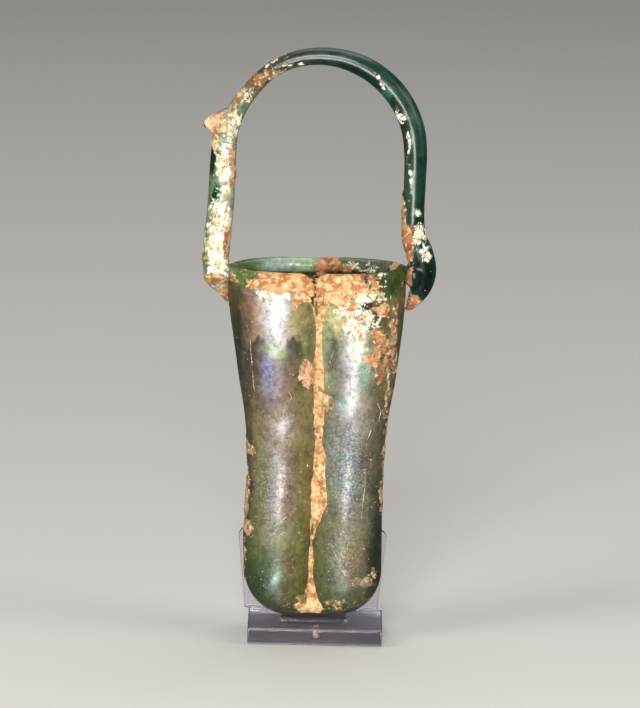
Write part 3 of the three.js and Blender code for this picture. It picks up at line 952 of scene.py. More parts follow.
@dataclass
class GlassFlask:
    """The blown glass flask: tubes, rim, handle and the wall between the tubes."""

    tubes: TubeForm = field(default_factory=TubeForm)
    arch: HandleForm = field(default_factory=HandleForm)
    fine: Fineness = field(default_factory=Fineness)
    worn: Weathering = field(default_factory=Weathering)
    wall: float = 1.6
    floor: float = 4.2
    bottom_radius: float = 5.0  # rounds the inside of each tube over its floor
    septum: tuple[float, float] = (2.0, 100.5)  # thickness and top
    rim: tuple[float, float, float] = (25.2, 13.6, 2.1)  # half width, half depth, bead's radius
    waist: tuple[float, float] = (0.12, 6.0)  # how far the rim draws in at the fold, and how wide
    near_lip: float = 0.35  # how far the near lip is pressed down
    far_roll: float = 0.5  # how much fatter the far lip is rolled
    notch: tuple[float, float, float] = (2.1, -1.0, 2.2)  # depth, place and half width
    # From, to, half thickness at the root and the tip, depth against height, and taper.
    stub: tuple = ((-27.4, 149.2), (-34.3, 149.2), 6.0, 1.3, 0.8, 1.2)
    # Each pressed end of the handle: its middle in x and height, and its half sizes.
    pads: tuple = (((-28.4, 104), (3.2, 4.6, 3.6)), ((29, 104), (3.6, 4.6, 3.8)))
    lean: float = 0.8  # degrees to the left
    piece: bpy.types.Object | None = None
    matrix: Matrix = field(default_factory=Matrix)

    def build(self) -> bpy.types.Object:
        """Makes the flask as one closed mesh in its own frame.

        Returns:
            The object, not yet leaned or placed.
        """
        glass = loft("glass_flask", self.tubes.outline(self.wall_heights(), self.fine.outline))
        hollow = self.build_tube(-1)
        combine(hollow, self.build_tube(1), "UNION")
        combine(hollow, self.build_septum(), "DIFFERENCE")
        combine(glass, hollow, "DIFFERENCE")
        combine(glass, self.build_rim(), "UNION")
        combine(glass, self.build_handle(), "UNION")
        self.piece = glass
        return glass

    def wall_heights(self) -> Array:
        """Spaces the outside rings, closer together on the heel.

        Returns:
            Their heights above the flask's bottom.
        """
        turn = np.linspace(0, math.pi / 2, self.fine.heel_rings, endpoint=False)
        heel = self.tubes.heel * (1 - np.cos(turn))
        above = np.linspace(self.tubes.heel, self.tubes.rim_height, self.fine.wall_rings)
        return np.r_[heel, above]

    def build_tube(self, side: int) -> bpy.types.Object:
        """Makes the hollow of one tube, open past the rim.

        Args:
            side: -1 for the left tube and 1 for the right.

        Returns:
            The hollow as a solid.
        """
        turn = np.linspace(0, math.pi / 2, self.fine.tube_bottom_rings, endpoint=False)
        low = self.floor + self.bottom_radius * (1 - np.cos(turn))
        straight = np.linspace(
            self.floor + self.bottom_radius, self.tubes.rim_height, self.fine.tube_wall_rings
        )
        heights = np.r_[low, straight]
        round_in = self.wall + self.bottom_radius * (1 - np.sin(turn))
        insets = np.r_[round_in, np.full(len(straight), self.wall)]
        rings = self.tubes.tube(side, heights, insets, self.fine.tube)
        mouth = rings[-1:].copy()
        mouth[..., 2] = self.tubes.rim_height + 2 * self.rim[2]
        return loft("tube", np.vstack([rings, mouth]))

    def build_septum(self) -> bpy.types.Object:
        """Makes the wall between the tubes, which follows the fold.

        Returns:
            The wall as a solid, deeper than the flask.
        """
        half, reach = self.septum[0] / 2, 2 * self.rim[1]
        x, y = np.array([-half, half, half, -half]), np.array([-reach, -reach, reach, reach])
        heights = np.linspace(0, self.septum[1], self.fine.septum_rings)
        return loft("septum", np.array([self.tubes.placed(x, y, np.full(4, h)) for h in heights]))

    def rim_line(self, turn: Array) -> Array:
        """Draws the middle of the rolled lip.

        Args:
            turn: angles round the mouth.

        Returns:
            Points, three coordinates to a row.
        """
        x = self.rim[0] * np.cos(turn)
        waist = 1 - self.waist[0] * np.exp(-((x / self.waist[1]) ** 2))
        y = self.rim[1] * np.sin(turn) * waist
        near = smoothstep(0, -self.rim[1], y)
        far = smoothstep(0, self.rim[1], y)
        notch = self.notch[0] * np.exp(-(((x - self.notch[1]) / self.notch[2]) ** 2))
        drop = near * (self.near_lip + notch) + far * self.far_roll * 0.8
        return np.column_stack([x, y, self.tubes.rim_height - drop])

    def build_rim(self) -> bpy.types.Object:
        """Makes the rolled lip, a bead that isn't quite even.

        Returns:
            The lip as a solid.
        """
        turn = np.linspace(0, 2 * math.pi, self.fine.rim_rings, endpoint=False)
        step = 0.02
        tangent = self.rim_line(turn + step) - self.rim_line(turn - step)
        tangent /= np.linalg.norm(tangent, axis=1)[:, None]
        out = np.cross(tangent, np.array([0, 0, 1.0]))
        around = np.linspace(0, 2 * math.pi, self.fine.bead, endpoint=False)
        depth = self.rim_line(turn)[:, 1]
        near = smoothstep(0, -self.rim[1], depth)
        radius = self.rim[2] * (1 + 0.05 * np.sin(3 * turn + 1)) - near * self.near_lip * 0.5
        radius = radius + smoothstep(0, self.rim[1], depth) * self.far_roll
        cos, sin = np.cos(around)[None, :, None], np.sin(around)[None, :, None]
        # The near lip runs down into the wall, where the far one is a free roll.
        trail = 1 + 1.8 * near[:, None, None] * np.clip(cos, 0, 1) * (sin < 0)
        up = np.array([0, 0, 1.0])
        ring = radius[:, None, None] * (out[:, None] * cos + up * sin * trail)
        return loft("rim", self.rim_line(turn)[:, None] + ring, endless=True)

    def rod(self, points: Array, tangents: Array, across: Array, beside: Array) -> Array:
        """Draws oval rings about a line in the handle's plane.

        Args:
            points: the line, in x and height.
            tangents: its unit tangents.
            across: half sizes from front to back.
            beside: half sizes in the handle's plane.

        Returns:
            An array of rings, points and coordinates.
        """
        around = np.linspace(0, 2 * math.pi, self.fine.rod, endpoint=False)
        cos, sin = np.cos(around)[None, :, None], np.sin(around)[None, :, None]
        middle = np.column_stack([points[:, 0], np.zeros(len(points)), points[:, 1]])
        side = np.column_stack([tangents[:, 1], np.zeros(len(points)), -tangents[:, 0]])
        depth = np.array([0, 1.0, 0])
        return (
            middle[:, None]
            + side[:, None] * beside[:, None, None] * cos
            + depth * across[:, None, None] * sin
        )

    def build_handle(self) -> bpy.types.Object:
        """Makes the handle with its stub and pressed ends, fused as hot glass fuses.

        Returns:
            The handle as a solid.
        """
        points, tangents, half = self.arch.line(self.fine.rod_rings)
        rod = loft("handle", self.rod(points, tangents, half, half))
        start, end, root, tip, spread, taper = self.stub
        part = np.linspace(0, 1, self.fine.stub_rings)
        line = np.array(start) + part[:, None] * (np.array(end) - np.array(start))
        heading = np.array(end) - np.array(start)
        heading = np.tile(heading / np.linalg.norm(heading), (len(part), 1))
        size = root + (tip - root) * part**taper
        combine(rod, loft("stub", self.rod(line, heading, size, size * spread)), "UNION")
        for centre, sizes in self.pads:
            combine(rod, self.build_pad(centre, sizes), "UNION")
        settle(rod, "REMESH", mode="VOXEL", voxel_size=self.fine.handle_voxel * MM)
        settle(rod, "SMOOTH", factor=0.5, iterations=4)
        return rod

    def build_pad(self, centre: tuple, sizes: tuple) -> bpy.types.Object:
        """Makes one pressed end of the handle as a flattened ball.

        Args:
            centre: its middle in x and height.
            sizes: its half sizes.

        Returns:
            The end as a solid.
        """
        low = np.linspace(-1, 1, self.fine.pad_rings + 2)[1:-1]
        around = np.linspace(0, 2 * math.pi, self.fine.pad, endpoint=False)
        flat = np.sqrt(1 - low**2)
        rings = np.stack(
            [
                centre[0] + sizes[0] * flat[:, None] * np.cos(around),
                sizes[1] * flat[:, None] * np.sin(around),
                centre[1] + sizes[2] * low[:, None] * np.ones(len(around)),
            ],
            -1,
        )
        return loft("pad", rings)

    def regions(self, points: Array) -> tuple[Array, Array]:
        """Tells what each point belongs to.

        Args:
            points: positions in the flask's own frame.

        Returns:
            The region's number for each point (0 body, 1 rim, 2 handle), and whether it is
            inside the flask.
        """
        line, _, half = self.arch.line(260)
        flat = points[:, [0, 2]]
        gap = np.linalg.norm(flat[:, None, :] - line[None, ::2], axis=2)
        nearest = gap.argmin(1)
        from_line = np.hypot(gap.min(1), points[:, 1])
        # The rod's own skin lies within 0.45 mm of its true size, and the stub stands off it.
        on_handle = from_line < half[::2][nearest] + 0.45
        on_handle |= (points[:, 2] > 140) & (points[:, 0] < -24)
        now = self.tubes.section(points[:, 2])
        x = points[:, 0] - now[:, 3] - now[:, 4]
        reach = now[:, 0] - now[:, 2] - self.wall * 0.5
        oval = ((np.abs(x) - now[:, 2]) / reach) ** 2
        oval += (points[:, 1] / (now[:, 1] - self.wall * 0.5)) ** 2
        inside = (oval < 1) & (points[:, 2] < self.tubes.rim_height - 2) & ~on_handle
        on_rim = (points[:, 2] > self.tubes.rim_height - 2.3) & ~on_handle
        for centre, sizes in self.pads:
            from_pad = (points - np.array([centre[0], 0, centre[1]])) / np.array(sizes)
            on_pad = np.linalg.norm(from_pad, axis=1) < 1.08
            on_handle |= on_pad
            on_rim &= ~on_pad
        return np.where(on_handle, 2, np.where(on_rim, 1, 0)), inside

    def weather(self) -> None:
        """Lays the covers on the glass as attributes and raises or wears the surface by them."""
        glass = self.piece
        points = vertices_of(glass)
        regions, inside = self.regions(points)
        covers, film, earth = self.cover_weights(points, regions, inside)
        normals = normals_of(glass)
        worn = self.worn
        slow = grain(points, worn.wall_size, 5, 2) - 0.5
        lumps = grain(points, worn.lump_size, 21, 3)
        raised = worn.soil_rise[0] + worn.soil_rise[1] * lumps
        raised *= smoothstep(0.42, 0.62, covers[Cover.SOIL])
        flakes = worn.lime_rise[0] + worn.lime_rise[1] * lumps
        flakes *= smoothstep(0.46, 0.56, covers[Cover.LIME])
        crest = worn.ridge_height + worn.ridge_slope * (points[:, 0] + 20)
        ridge = np.exp(-(((points[:, 2] - crest) / worn.ridge_half) ** 2))
        ridge *= smoothstep(-15, -19, points[:, 0]) * (points[:, 1] < 4) * (regions < 2)
        # What faces up or down keeps less, so the flask isn't made taller.
        sideways = np.clip(1.1 - np.abs(normals[:, 2]), 0.15, 1)
        depth = np.maximum(raised, flakes) * sideways
        depth += worn.wall_wander * slow + worn.ridge_rise * ridge
        depth[inside] = worn.inside_rise * (lumps[inside] - 0.5)
        set_vertices(glass, points + normals * depth[:, None])
        mesh = glass.data
        for cover in covers:
            layer = mesh.attributes.new(cover.value, "FLOAT", "POINT")
            layer.data.foreach_set("value", covers[cover].astype(np.float32))
        for name, tone in (("film", film), ("earth", earth)):
            layer = mesh.attributes.new(name, "FLOAT_COLOR", "POINT")
            rgba = np.column_stack([tone, np.ones(len(tone))])
            layer.data.foreach_set("color", rgba.astype(np.float32).ravel())

    def cover_weights(
        self, points: Array, regions: Array, inside: Array
    ) -> tuple[dict[Cover, Array], Array, Array]:
        """Adds up every patch over the glass.

        Args:
            points: positions in the flask's own frame.
            regions: the region's number for each point.
            inside: whether each point is inside the flask.

        Returns:
            A weight for each cover, and the film's and the soil's linear colours, one row for
            each point.
        """
        size = self.worn.edge_size
        warp = np.column_stack([grain(points, size, seed, 3) - 0.5 for seed in (31, 47)])
        warp *= self.worn.edge_wander
        rough = grain(points, self.worn.grain_size, 77, 4) - 0.5
        order = list(Region)
        front = points[:, 1] < 0
        weights = {c: np.zeros(len(points)) for c in LAYERS}
        film = self.bare_film(points, regions)
        earth = np.tile(linear(EARTH)[:3], (len(points), 1))
        for patch in PATCHES:
            here = regions == order.index(patch.region)
            if patch.face is not Face.BOTH:
                here &= front if patch.face is Face.FRONT else ~front
            chosen = np.flatnonzero(here)
            near = patch.spread(points[chosen], warp[chosen]) * patch.amount
            if patch.cover in LAYERS:
                weights[patch.cover][chosen] = np.maximum(weights[patch.cover][chosen], near)
            if patch.colour:
                soil = patch.cover is Cover.SOIL
                tone = earth if soil else film
                share = smoothstep(0.15, 0.45, near) if soil else near**0.8
                tone[chosen] += share[:, None] * (np.array(linear(patch.colour)[:3]) - tone[chosen])
        for cover in (Cover.SOIL, Cover.LIME):
            weights[cover] = np.clip(weights[cover] + self.worn.grain_share * rough, 0, 1)
        weights[Cover.PEARL] *= 1 - weights[Cover.DARK_BAND]
        film[inside] = np.array(linear(INSIDE)[:3])
        for cover in weights:
            weights[cover][inside] = 0
        weights[Cover.SOIL][inside] = 0.42 + 0.3 * rough[inside]
        return weights, film, earth

    def bare_film(self, points: Array, regions: Array) -> Array:
        """Colours the film before any patch: olive, dark green on the flanks as painted shade, and
        greener on the heel.

        Args:
            points: positions in the flask's own frame.
            regions: the region's number for each point.

        Returns:
            Linear colours, one row for each point.
        """
        now = self.tubes.section(points[:, 2])
        x = np.abs(points[:, 0] - now[:, 3]) / np.maximum(now[:, 0], 1)
        # Painted shade: the flanks, where the tubes turn away, are drawn dark green.
        edge_shade = smoothstep(0.82, 0.98, x)[:, None]
        low = smoothstep(26, 8, points[:, 2])[:, None]
        olive, green, deep = (np.array(linear(c)[:3]) for c in ("#5f5838", "#1c2214", "#16301c"))
        film = olive * (1 - edge_shade) + green * edge_shade
        film = film * (1 - low) + deep * low
        film[regions == 2] = np.array(linear("#1c5447")[:3])
        return film

    def place(self) -> None:
        """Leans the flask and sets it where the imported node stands."""
        turn = Matrix.Rotation(-math.radians(self.lean), 4, "Y")
        self.piece.data.transform(turn)
        low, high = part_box("glass_bottle")
        points = vertices_of(self.piece) * MM
        middle = (points.min(0) + points.max(0)) / 2
        shift = (low + high) / 2 - Vector(middle)
        self.matrix = Matrix.Translation(shift) @ turn
        self.piece.data.transform(Matrix.Translation(shift))

    def dress(self, weathered: bpy.types.Material, bare: bpy.types.Material) -> None:
        """Gives film-covered faces one glass and the clean faces the other.

        Args:
            weathered: the glass under its film, soil and lime.
            bare: the clear glass.
        """
        mesh = self.piece.data
        mesh.materials.clear()
        mesh.materials.append(weathered)
        mesh.materials.append(bare)
        clear = np.empty(len(mesh.vertices), np.float32)
        soil, lime = clear.copy(), clear.copy()
        for cover, store in ((Cover.CLEAR, clear), (Cover.SOIL, soil), (Cover.LIME, lime)):
            mesh.attributes[cover.value].data.foreach_get("value", store)
        clean = (clear > 0.62) & (soil < 0.3) & (lime < 0.3)
        chosen = [int(all(clean[v] for v in face.vertices)) for face in mesh.polygons]
        mesh.polygons.foreach_set("material_index", chosen)
        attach(self.piece, BODY)
        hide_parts("glass_bottle")


# ---- Soil and lime that stand proud ------------------------------------------------------


@dataclass
class FoldCrust:
    """The soil packed in the groove between the tubes.

    Each station is a height with the crust's left and right edge from the fold, how far up the
    groove it is filled, and how thick it lies on the glass. Each slit is a crack's place across,
    lowest and highest point and half width.
    """

    name: str
    face: Face
    form: TubeForm
    stations: tuple
    seed: int
    slits: tuple = ()
    half_span: float = 9.0
    step_up: float = 0.3
    step_across: float = 0.18
    slit_depth: float = 0.8
    piece: bpy.types.Object | None = None

    def opened(self, u: Array, h: Array, flat: Array) -> Array:
        """Tells how far each place lies in a crack.

        Args:
            u: distance from the fold.
            h: height above the flask's bottom.
            flat: the same places as points.

        Returns:
            1 in the middle of a crack and 0 away from it.
        """
        open_by = np.zeros(len(u))
        for across, low, high, wide in self.slits:
            sway = grain(flat * np.array([0, 1, 1]), 3.0, self.seed + 9, 3) - 0.5
            near = np.exp(-(((u - across - 0.5 * sway) / wide) ** 2))
            ends = smoothstep(low - 0.6, low + 0.6, h) * smoothstep(high + 0.6, high - 0.6, h)
            open_by = np.maximum(open_by, near * ends)
        return open_by

    def skin(self, u: Array, h: Array, flat: Array) -> tuple[Array, Array]:
        """Works out the crust's surface, whose edges sink under the glass.

        Args:
            u: distance from the fold.
            h: height above the flask's bottom.
            flat: the same places as points.

        Returns:
            The surface's depth, and how far out each place is, with 1 on the crust's edge.
        """
        table = np.array(self.stations, float)
        left, right, fill, thick = smooth_table(table[:, 0], table[:, 1:], h).T
        middle, half = (left + right) / 2, np.maximum((right - left) / 2, 0.05)
        ragged = (grain(flat, 4.5, self.seed, 4) - 0.5) * 1.1
        v = np.abs(u - middle) / half * (1 + ragged)
        surface = self.form.depth_at(u, h)
        level = self.form.depth_at(fill, h)
        lumps = grain(flat, 1.7, self.seed + 3, 4) - 0.5
        dome = thick * (1 - np.clip(v, 0, 1.6) ** 4)
        outer = np.maximum(surface, level + 0.5 * lumps) + dome + 0.55 * lumps
        return np.where(v > 1, surface - 0.5 * (v - 1) - 0.02, np.maximum(outer, surface)), v

    def build(self) -> bpy.types.Object:
        """Makes the crust's outside.

        Returns:
            The object, in the flask's own frame.
        """
        heights = np.arange(self.stations[0][0], self.stations[-1][0], self.step_up)
        offsets = np.arange(-self.half_span, self.half_span, self.step_across)
        h, u = (a.ravel() for a in np.meshgrid(heights, offsets, indexing="ij"))
        flat = np.column_stack([u, np.zeros(len(u)), h])
        outer, v = self.skin(u, h, flat)
        open_by = self.opened(u, h, flat)
        sign = self.face.value
        points = self.form.placed(u, sign * (outer - self.slit_depth * open_by), h)
        count = len(offsets)
        i, j = np.meshgrid(np.arange(len(heights) - 1), np.arange(count - 1), indexing="ij")
        a = (i * count + j).ravel()
        quads = np.stack([a, a + 1, a + 1 + count, a + count], -1)
        kept = quads[(v[quads] < 1.25).any(1)]
        if sign > 0:
            kept = kept[:, ::-1]
        used = np.unique(kept)
        renumber = np.zeros(len(points), int)
        renumber[used] = np.arange(len(used))
        self.piece = mesh_object(self.name, points[used], renumber[kept])
        # The cracks' places are kept so that the soil's material paints shade into them.
        layer = self.piece.data.attributes.new("slit", "FLOAT", "POINT")
        layer.data.foreach_set("value", open_by[used].astype(np.float32))
        return self.piece


FRONT_FOLD = (
    (1.2, -3.0, 3.6, 1.5, 0.3),
    (3.3, -3.8, 4.2, 1.6, 0.5),
    (6, -2.4, 2.4, 1.1, 0.4),
    (9, -1.0, 1.3, 0.8, 0.3),
    (17, -0.6, 0.7, 0.6, 0.25),
    (21, -0.4, 0.4, 0.4, 0.1),
    (22.4, -0.2, 0.2, 0.2, 0.0),
    (24, -0.3, 0.7, 0.4, 0.15),
    (27, -0.5, 1.4, 0.7, 0.2),
    (30, -0.7, 2.6, 1.0, 0.2),
    (36, -0.8, 3.4, 1.2, 0.25),
    (44, -1.1, 2.4, 1.2, 0.25),
    (54, -1.3, 1.4, 1.1, 0.25),
    (62, -1.3, 1.4, 1.0, 0.2),
    (70, -1.3, 1.1, 0.9, 0.2),
    (78, -1.2, 1.1, 0.9, 0.2),
    (84, -0.9, 0.8, 0.8, 0.2),
    (90, -1.1, 1.1, 0.9, 0.2),
    (95, -2.0, 2.2, 1.0, 0.2),
    (99, -3.0, 4.0, 1.1, 0.2),
    (103.6, -5.5, 6.5, 1.1, 0.2),
)

FRONT_SLITS = (
    (-0.9, 93, 104, 0.3),
    (0.1, 25.4, 28.4, 0.22),
    (-1.6, 48, 52, 0.14),
    (0.9, 96, 101, 0.12),
)

BACK_FOLD = (
    (1.2, -3.2, 3.2, 1.4, 0.3),
    (4, -3.4, 3.6, 1.5, 0.4),
    (9, -1.2, 1.3, 0.8, 0.3),
    (24, -1.0, 0.9, 0.7, 0.25),
    (40, -1.4, 1.8, 1.1, 0.25),
    (58, -1.2, 1.1, 1.0, 0.25),
    (74, -1.8, 1.3, 1.0, 0.2),
    (90, -1.6, 1.8, 1.1, 0.2),
    (98, -3.4, 3.8, 1.2, 0.2),
    (103.6, -7.0, 7.4, 1.2, 0.2),
)


def ball(rings: int) -> tuple[Array, Array]:
    """Makes an even unit ball.

    Args:
        rings: how often its twenty sides are divided.

    Returns:
        Its vertices and its triangles.
    """
    mesh = bmesh.new()
    bmesh.ops.create_icosphere(mesh, subdivisions=rings, radius=1)
    points = np.array([v.co[:] for v in mesh.verts])
    faces = np.array([[v.index for v in f.verts] for f in mesh.faces])
    mesh.free()
    return points, faces


@dataclass
class Crumbs:
    """Loose lumps that cling to the tubes, from fine grit to clods of about a millimetre.

    Each cluster is a side, the middle's x and height, half sizes, a count and the largest lump.
    sunk is how much of a lump's size its middle lies under the glass.
    """

    name: str
    form: TubeForm
    clusters: tuple
    seed: int
    smallest: float = 0.25  # against the largest, before most are made smaller still
    sunk: float = 0.22
    piece: bpy.types.Object | None = None

    def build(self) -> bpy.types.Object:
        """Scatters the lumps and joins them in one piece.

        Returns:
            The object, in the flask's own frame.
        """
        draw = np.random.default_rng(self.seed)
        unit, faces = ball(2)
        points, corners, start = [], [], 0
        for face, x, height, wide, tall, count, largest in self.clusters:
            for _ in range(count):
                size = largest * draw.uniform(self.smallest, 1.0) ** 1.4
                h = max(height + tall * draw.uniform(-1, 1), 0.8)
                now = self.form.section(np.array([h]))[0]
                edge = now[0] - 0.2
                u = float(np.clip(x + wide * draw.uniform(-1, 1) - now[3], -edge, edge))
                depth = self.form.depth_at(np.array([u]), np.array([h]))[0]
                place = np.array([u]), np.array([face.value * depth]), np.array([h])
                middle = self.form.placed(*place)[0]
                stretch = draw.uniform(0.6, 1.2, 3) * np.array([1, 0.7, 0.8])
                lump = unit * (0.7 + 0.6 * grain(unit + start, 1.1, self.seed, 2))[:, None]
                inwards = np.array([0, -self.sunk * size * face.value, 0])
                points.append(lump * stretch * size / 2 + middle + inwards)
                corners.append(faces + start)
                start += len(unit)
        self.piece = mesh_object(self.name, np.vstack(points), np.vstack(corners))
        return self.piece


SOIL_CRUMBS = (
    (Face.FRONT, 0, 3.4, 5, 2.0, 40, 1.1),
    (Face.FRONT, 6, 4.2, 2.6, 1.4, 26, 1.2),
    (Face.FRONT, 14.4, 11.8, 3.2, 1.2, 40, 1.0),
    (Face.FRONT, 17.4, 13.4, 1.4, 1.6, 16, 1.0),
    (Face.FRONT, -12, 4.0, 8, 1.2, 40, 0.6),
    (Face.FRONT, 12, 4.6, 6, 1.8, 40, 0.7),
    (Face.FRONT, -20.6, 36, 0.8, 13, 22, 0.9),
    (Face.FRONT, 20.4, 36, 0.7, 5, 8, 0.9),
    (Face.FRONT, 20, 86, 3, 9, 26, 0.9),
    (Face.FRONT, 12, 98, 8, 5, 30, 0.8),
    (Face.FRONT, -8, 102, 11, 1.4, 22, 0.7),
    (Face.FRONT, 3.2, 36, 1.6, 6, 8, 0.7),
    (Face.BACK, 0, 3.0, 5, 1.8, 20, 1.2),
    (Face.BACK, 2, 102, 16, 2, 26, 0.8),
    (Face.BACK, 18, 90, 3, 8, 14, 0.9),
    (Face.BACK, -19, 86, 2, 9, 12, 0.9),
)

LIME_CRUMBS = (
    (Face.FRONT, -12, 3.6, 8, 1.4, 26, 0.45),
    (Face.FRONT, 13, 4.0, 7, 1.8, 26, 0.45),
    (Face.FRONT, 13, 94, 5, 7, 70, 0.7),
    (Face.FRONT, 0, 60, 20, 40, 60, 0.28),
    (Face.BACK, -11, 95, 6, 6, 20, 0.7),
    (Face.BACK, 10, 95, 6, 6, 20, 0.7),
)


@dataclass
class FilmEdges:
    """Lifted edges and deep scratches of the film, where lime has caught in a thin ridge.

    Each line is a half width and the places it runs through, in x and height.
    """

    name: str
    form: TubeForm
    lines: tuple
    face: Face = Face.FRONT
    step: float = 0.35
    piece: bpy.types.Object | None = None

    def build(self) -> bpy.types.Object:
        """Makes every ridge as a closed thread half sunk in the glass.

        Returns:
            The object, in the flask's own frame.
        """
        points, corners, start = [], [], 0
        around = np.linspace(0, 2 * math.pi, 6, endpoint=False)
        for half, places in self.lines:
            knots = np.array(places, float)
            walked = np.r_[0, np.cumsum(np.linalg.norm(np.diff(knots, axis=0), axis=1))]
            along = np.linspace(0, walked[-1], max(int(walked[-1] / self.step), 6))
            line = smooth_table(walked, knots, along)
            flat = np.column_stack([line[:, 0], np.zeros(len(line)), line[:, 1]])
            line += np.column_stack([grain(flat, 2.0, n, 2) - 0.5 for n in (3, 4)]) * 0.5
            now = self.form.section(line[:, 1])
            u = line[:, 0] - now[:, 3] - now[:, 4] * (1 - (line[:, 0] / now[:, 0]) ** 2)
            depth = self.form.depth_at(u, line[:, 1])
            middle = self.form.placed(u, self.face.value * depth, line[:, 1])
            ends = np.sin(np.pi * np.linspace(0, 1, len(line))) ** 0.4
            size = half * ends * np.clip(2.4 * grain(flat, 1.3, 8, 3) - 0.55, 0.08, 1)
            tangent = np.gradient(middle, axis=0)
            tangent /= np.linalg.norm(tangent, axis=1)[:, None]
            side = np.cross(tangent, np.array([0, 1.0, 0]))
            side /= np.linalg.norm(side, axis=1)[:, None]
            out = np.cross(side, tangent)
            cos, sin = np.cos(around)[None, :, None], np.sin(around)[None, :, None]
            ring = (side[:, None] * cos + out[:, None] * sin) * size[:, None, None]
            thread = loft("thread", middle[:, None] + ring)
            points.append(vertices_of(thread))
            corners += [[v + start for v in face.vertices] for face in thread.data.polygons]
            start += len(points[-1])
            bpy.data.objects.remove(thread)
        self.piece = mesh_object(self.name, np.vstack(points), corners)
        return self.piece


EDGE_LINES = (
    (0.11, ((-20.0, 87.6), (-19.6, 82), (-19.0, 76), (-18.4, 70.5), (-16.6, 66.6), (-14.0, 63.4))),
    (0.10, ((-6.2, 34.6), (-8.6, 31.8), (-11.4, 29.4), (-14.6, 27.6))),
    (0.08, ((-8.4, 32.4), (-10.6, 29.2), (-13.0, 26.0), (-15.2, 24.6))),
    (0.07, ((-12.6, 28.6), (-9.6, 27.0), (-7.4, 26.6))),
    (0.11, ((4.6, 23.4), (6.6, 19.4), (8.6, 16.4), (10.8, 13.6))),
    (0.09, ((14.8, 46.5), (14.9, 41), (14.3, 35.5), (14.0, 31))),
    (0.12, ((16.6, 58.6), (15.9, 56.4), (15.2, 55.2))),
    (0.08, ((-8.6, 70.4), (-7.4, 68.4), (-8.8, 66.0), (-9.4, 63.8))),
    (0.10, ((5.8, 84.5), (4.9, 82.0), (4.2, 79.4), (4.6, 77.0))),
    (0.12, ((6.6, 67.2), (8.2, 64.8), (9.6, 63.8))),
    (0.10, ((18.2, 66.6), (19.2, 63.6), (18.8, 60.4))),
)


@dataclass
class PaleBead:
    """A small pale drop under the foot pad, sealed between the block's faces."""

    x: float = 0.4  # from the block's middle
    from_front: float = 7.0
    sizes: tuple[float, float, float] = (0.95, 0.9, 1.5)
    piece: bpy.types.Object | None = None

    def build(self) -> bpy.types.Object:
        """Makes the drop inside the base block.

        Returns:
            The object, where it is in the stand.
        """
        low, high = (np.array(corner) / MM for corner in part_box("base_block"))
        middle = (low + high) / 2
        middle[0] += self.x
        middle[1] = low[1] + self.from_front
        unit, faces = ball(4)
        shape = unit * (0.86 + 0.28 * grain(unit, 0.9, 3, 2))[:, None] * np.array(self.sizes)
        self.piece = mesh_object("pale_bead", shape + middle, faces)
        return self.piece


# ---- Materials ---------------------------------------------------------------------------


def scale_for(size: float) -> float:
    """Returns the texture scale that makes a pattern this wide in millimetres."""
    return 1 / (size * MM)


class Graph:
    """A material's node tree. Its patterns lie in the object's own space."""

    def __init__(self, name: str) -> None:
        """Starts a material with nothing on its surface yet.

        Args:
            name: the material's name.
        """
        self.material = bpy.data.materials.new(name)
        self.material.use_nodes = True
        self.tree = self.material.node_tree
        self.tree.nodes.clear()
        self.place = self.add("TexCoord", out="Object")

    def add(
        self,
        kind: str,
        values: dict | tuple = (),
        out: int | str = 0,
        size: float = 0.0,
        stops: tuple = (),
        **settings: object,
    ) -> Socket | None:
        """Adds a node with its settings and links.

        Args:
            kind: the node type after ShaderNode.
            values: numbers, colours or links, by socket name or in the order of those in use.
            out: which output is wanted, by name or by its number among those in use.
            size: for a pattern, the width of its largest lumps in millimetres.
            stops: for a colour ramp, its positions and hex colours.
            **settings: the node's own options.

        Returns:
            The output, or None for a node without one.
        """
        node = self.tree.nodes.new("ShaderNode" + kind)
        for key, value in settings.items():
            setattr(node, key, value)
        if isinstance(values, dict):
            pairs = [(node.inputs[key], value) for key, value in values.items()]
        else:
            pairs = list(zip([socket for socket in node.inputs if socket.enabled], values))
        if size:
            pairs += [(node.inputs["Vector"], self.place), (node.inputs["Scale"], scale_for(size))]
        for socket, value in pairs:
            if isinstance(value, Socket):
                self.tree.links.new(value, socket)
            else:
                socket.default_value = value
        for _ in stops[2:]:
            node.color_ramp.elements.new(0.5)
        for number, (position, colour) in enumerate(stops):
            node.color_ramp.elements[number].position = position
            node.color_ramp.elements[number].color = linear(colour)
        found = [socket for socket in node.outputs if socket.enabled]
        if not found:
            return None
        return node.outputs[out] if isinstance(out, str) else found[out]

    def lean(self, weight: object, *noises: tuple) -> Socket:
        """Moves a weight up and down evenly by noises.

        Args:
            weight: the weight.
            *noises: each noise with the share of it that is added.

        Returns:
            The roughened weight.
        """
        for noise, share in noises:
            even = self.add("Math", (noise, 0.5), operation="SUBTRACT")
            weight = self.add("Math", (even, share, weight), operation="MULTIPLY_ADD")
        return weight

    def edge(self, weight: object, soft: float, *noises: tuple) -> Socket:
        """Turns a soft weight into a mask with a crisp, ragged edge.

        Args:
            weight: the weight, which is one half on the edge.
            soft: half of the weight's range that the edge takes up.
            *noises: each noise with its share in the edge's wander.

        Returns:
            The mask.
        """
        rough = self.lean(weight, *noises)
        return self.add("MapRange", (rough, 0.5 - soft, 0.5 + soft), **SMOOTH)

    def dress(self, shader: Socket) -> bpy.types.Material:
        """Puts the shader on the surface.

        Args:
            shader: the shader's output.

        Returns:
            The finished material.
        """
        self.add("OutputMaterial", {"Surface": shader})
        return self.material


GLASS_IOR = 1.52
LIME_TONES = ("#8f7c58", "#cdbb92", "#ece6d4")


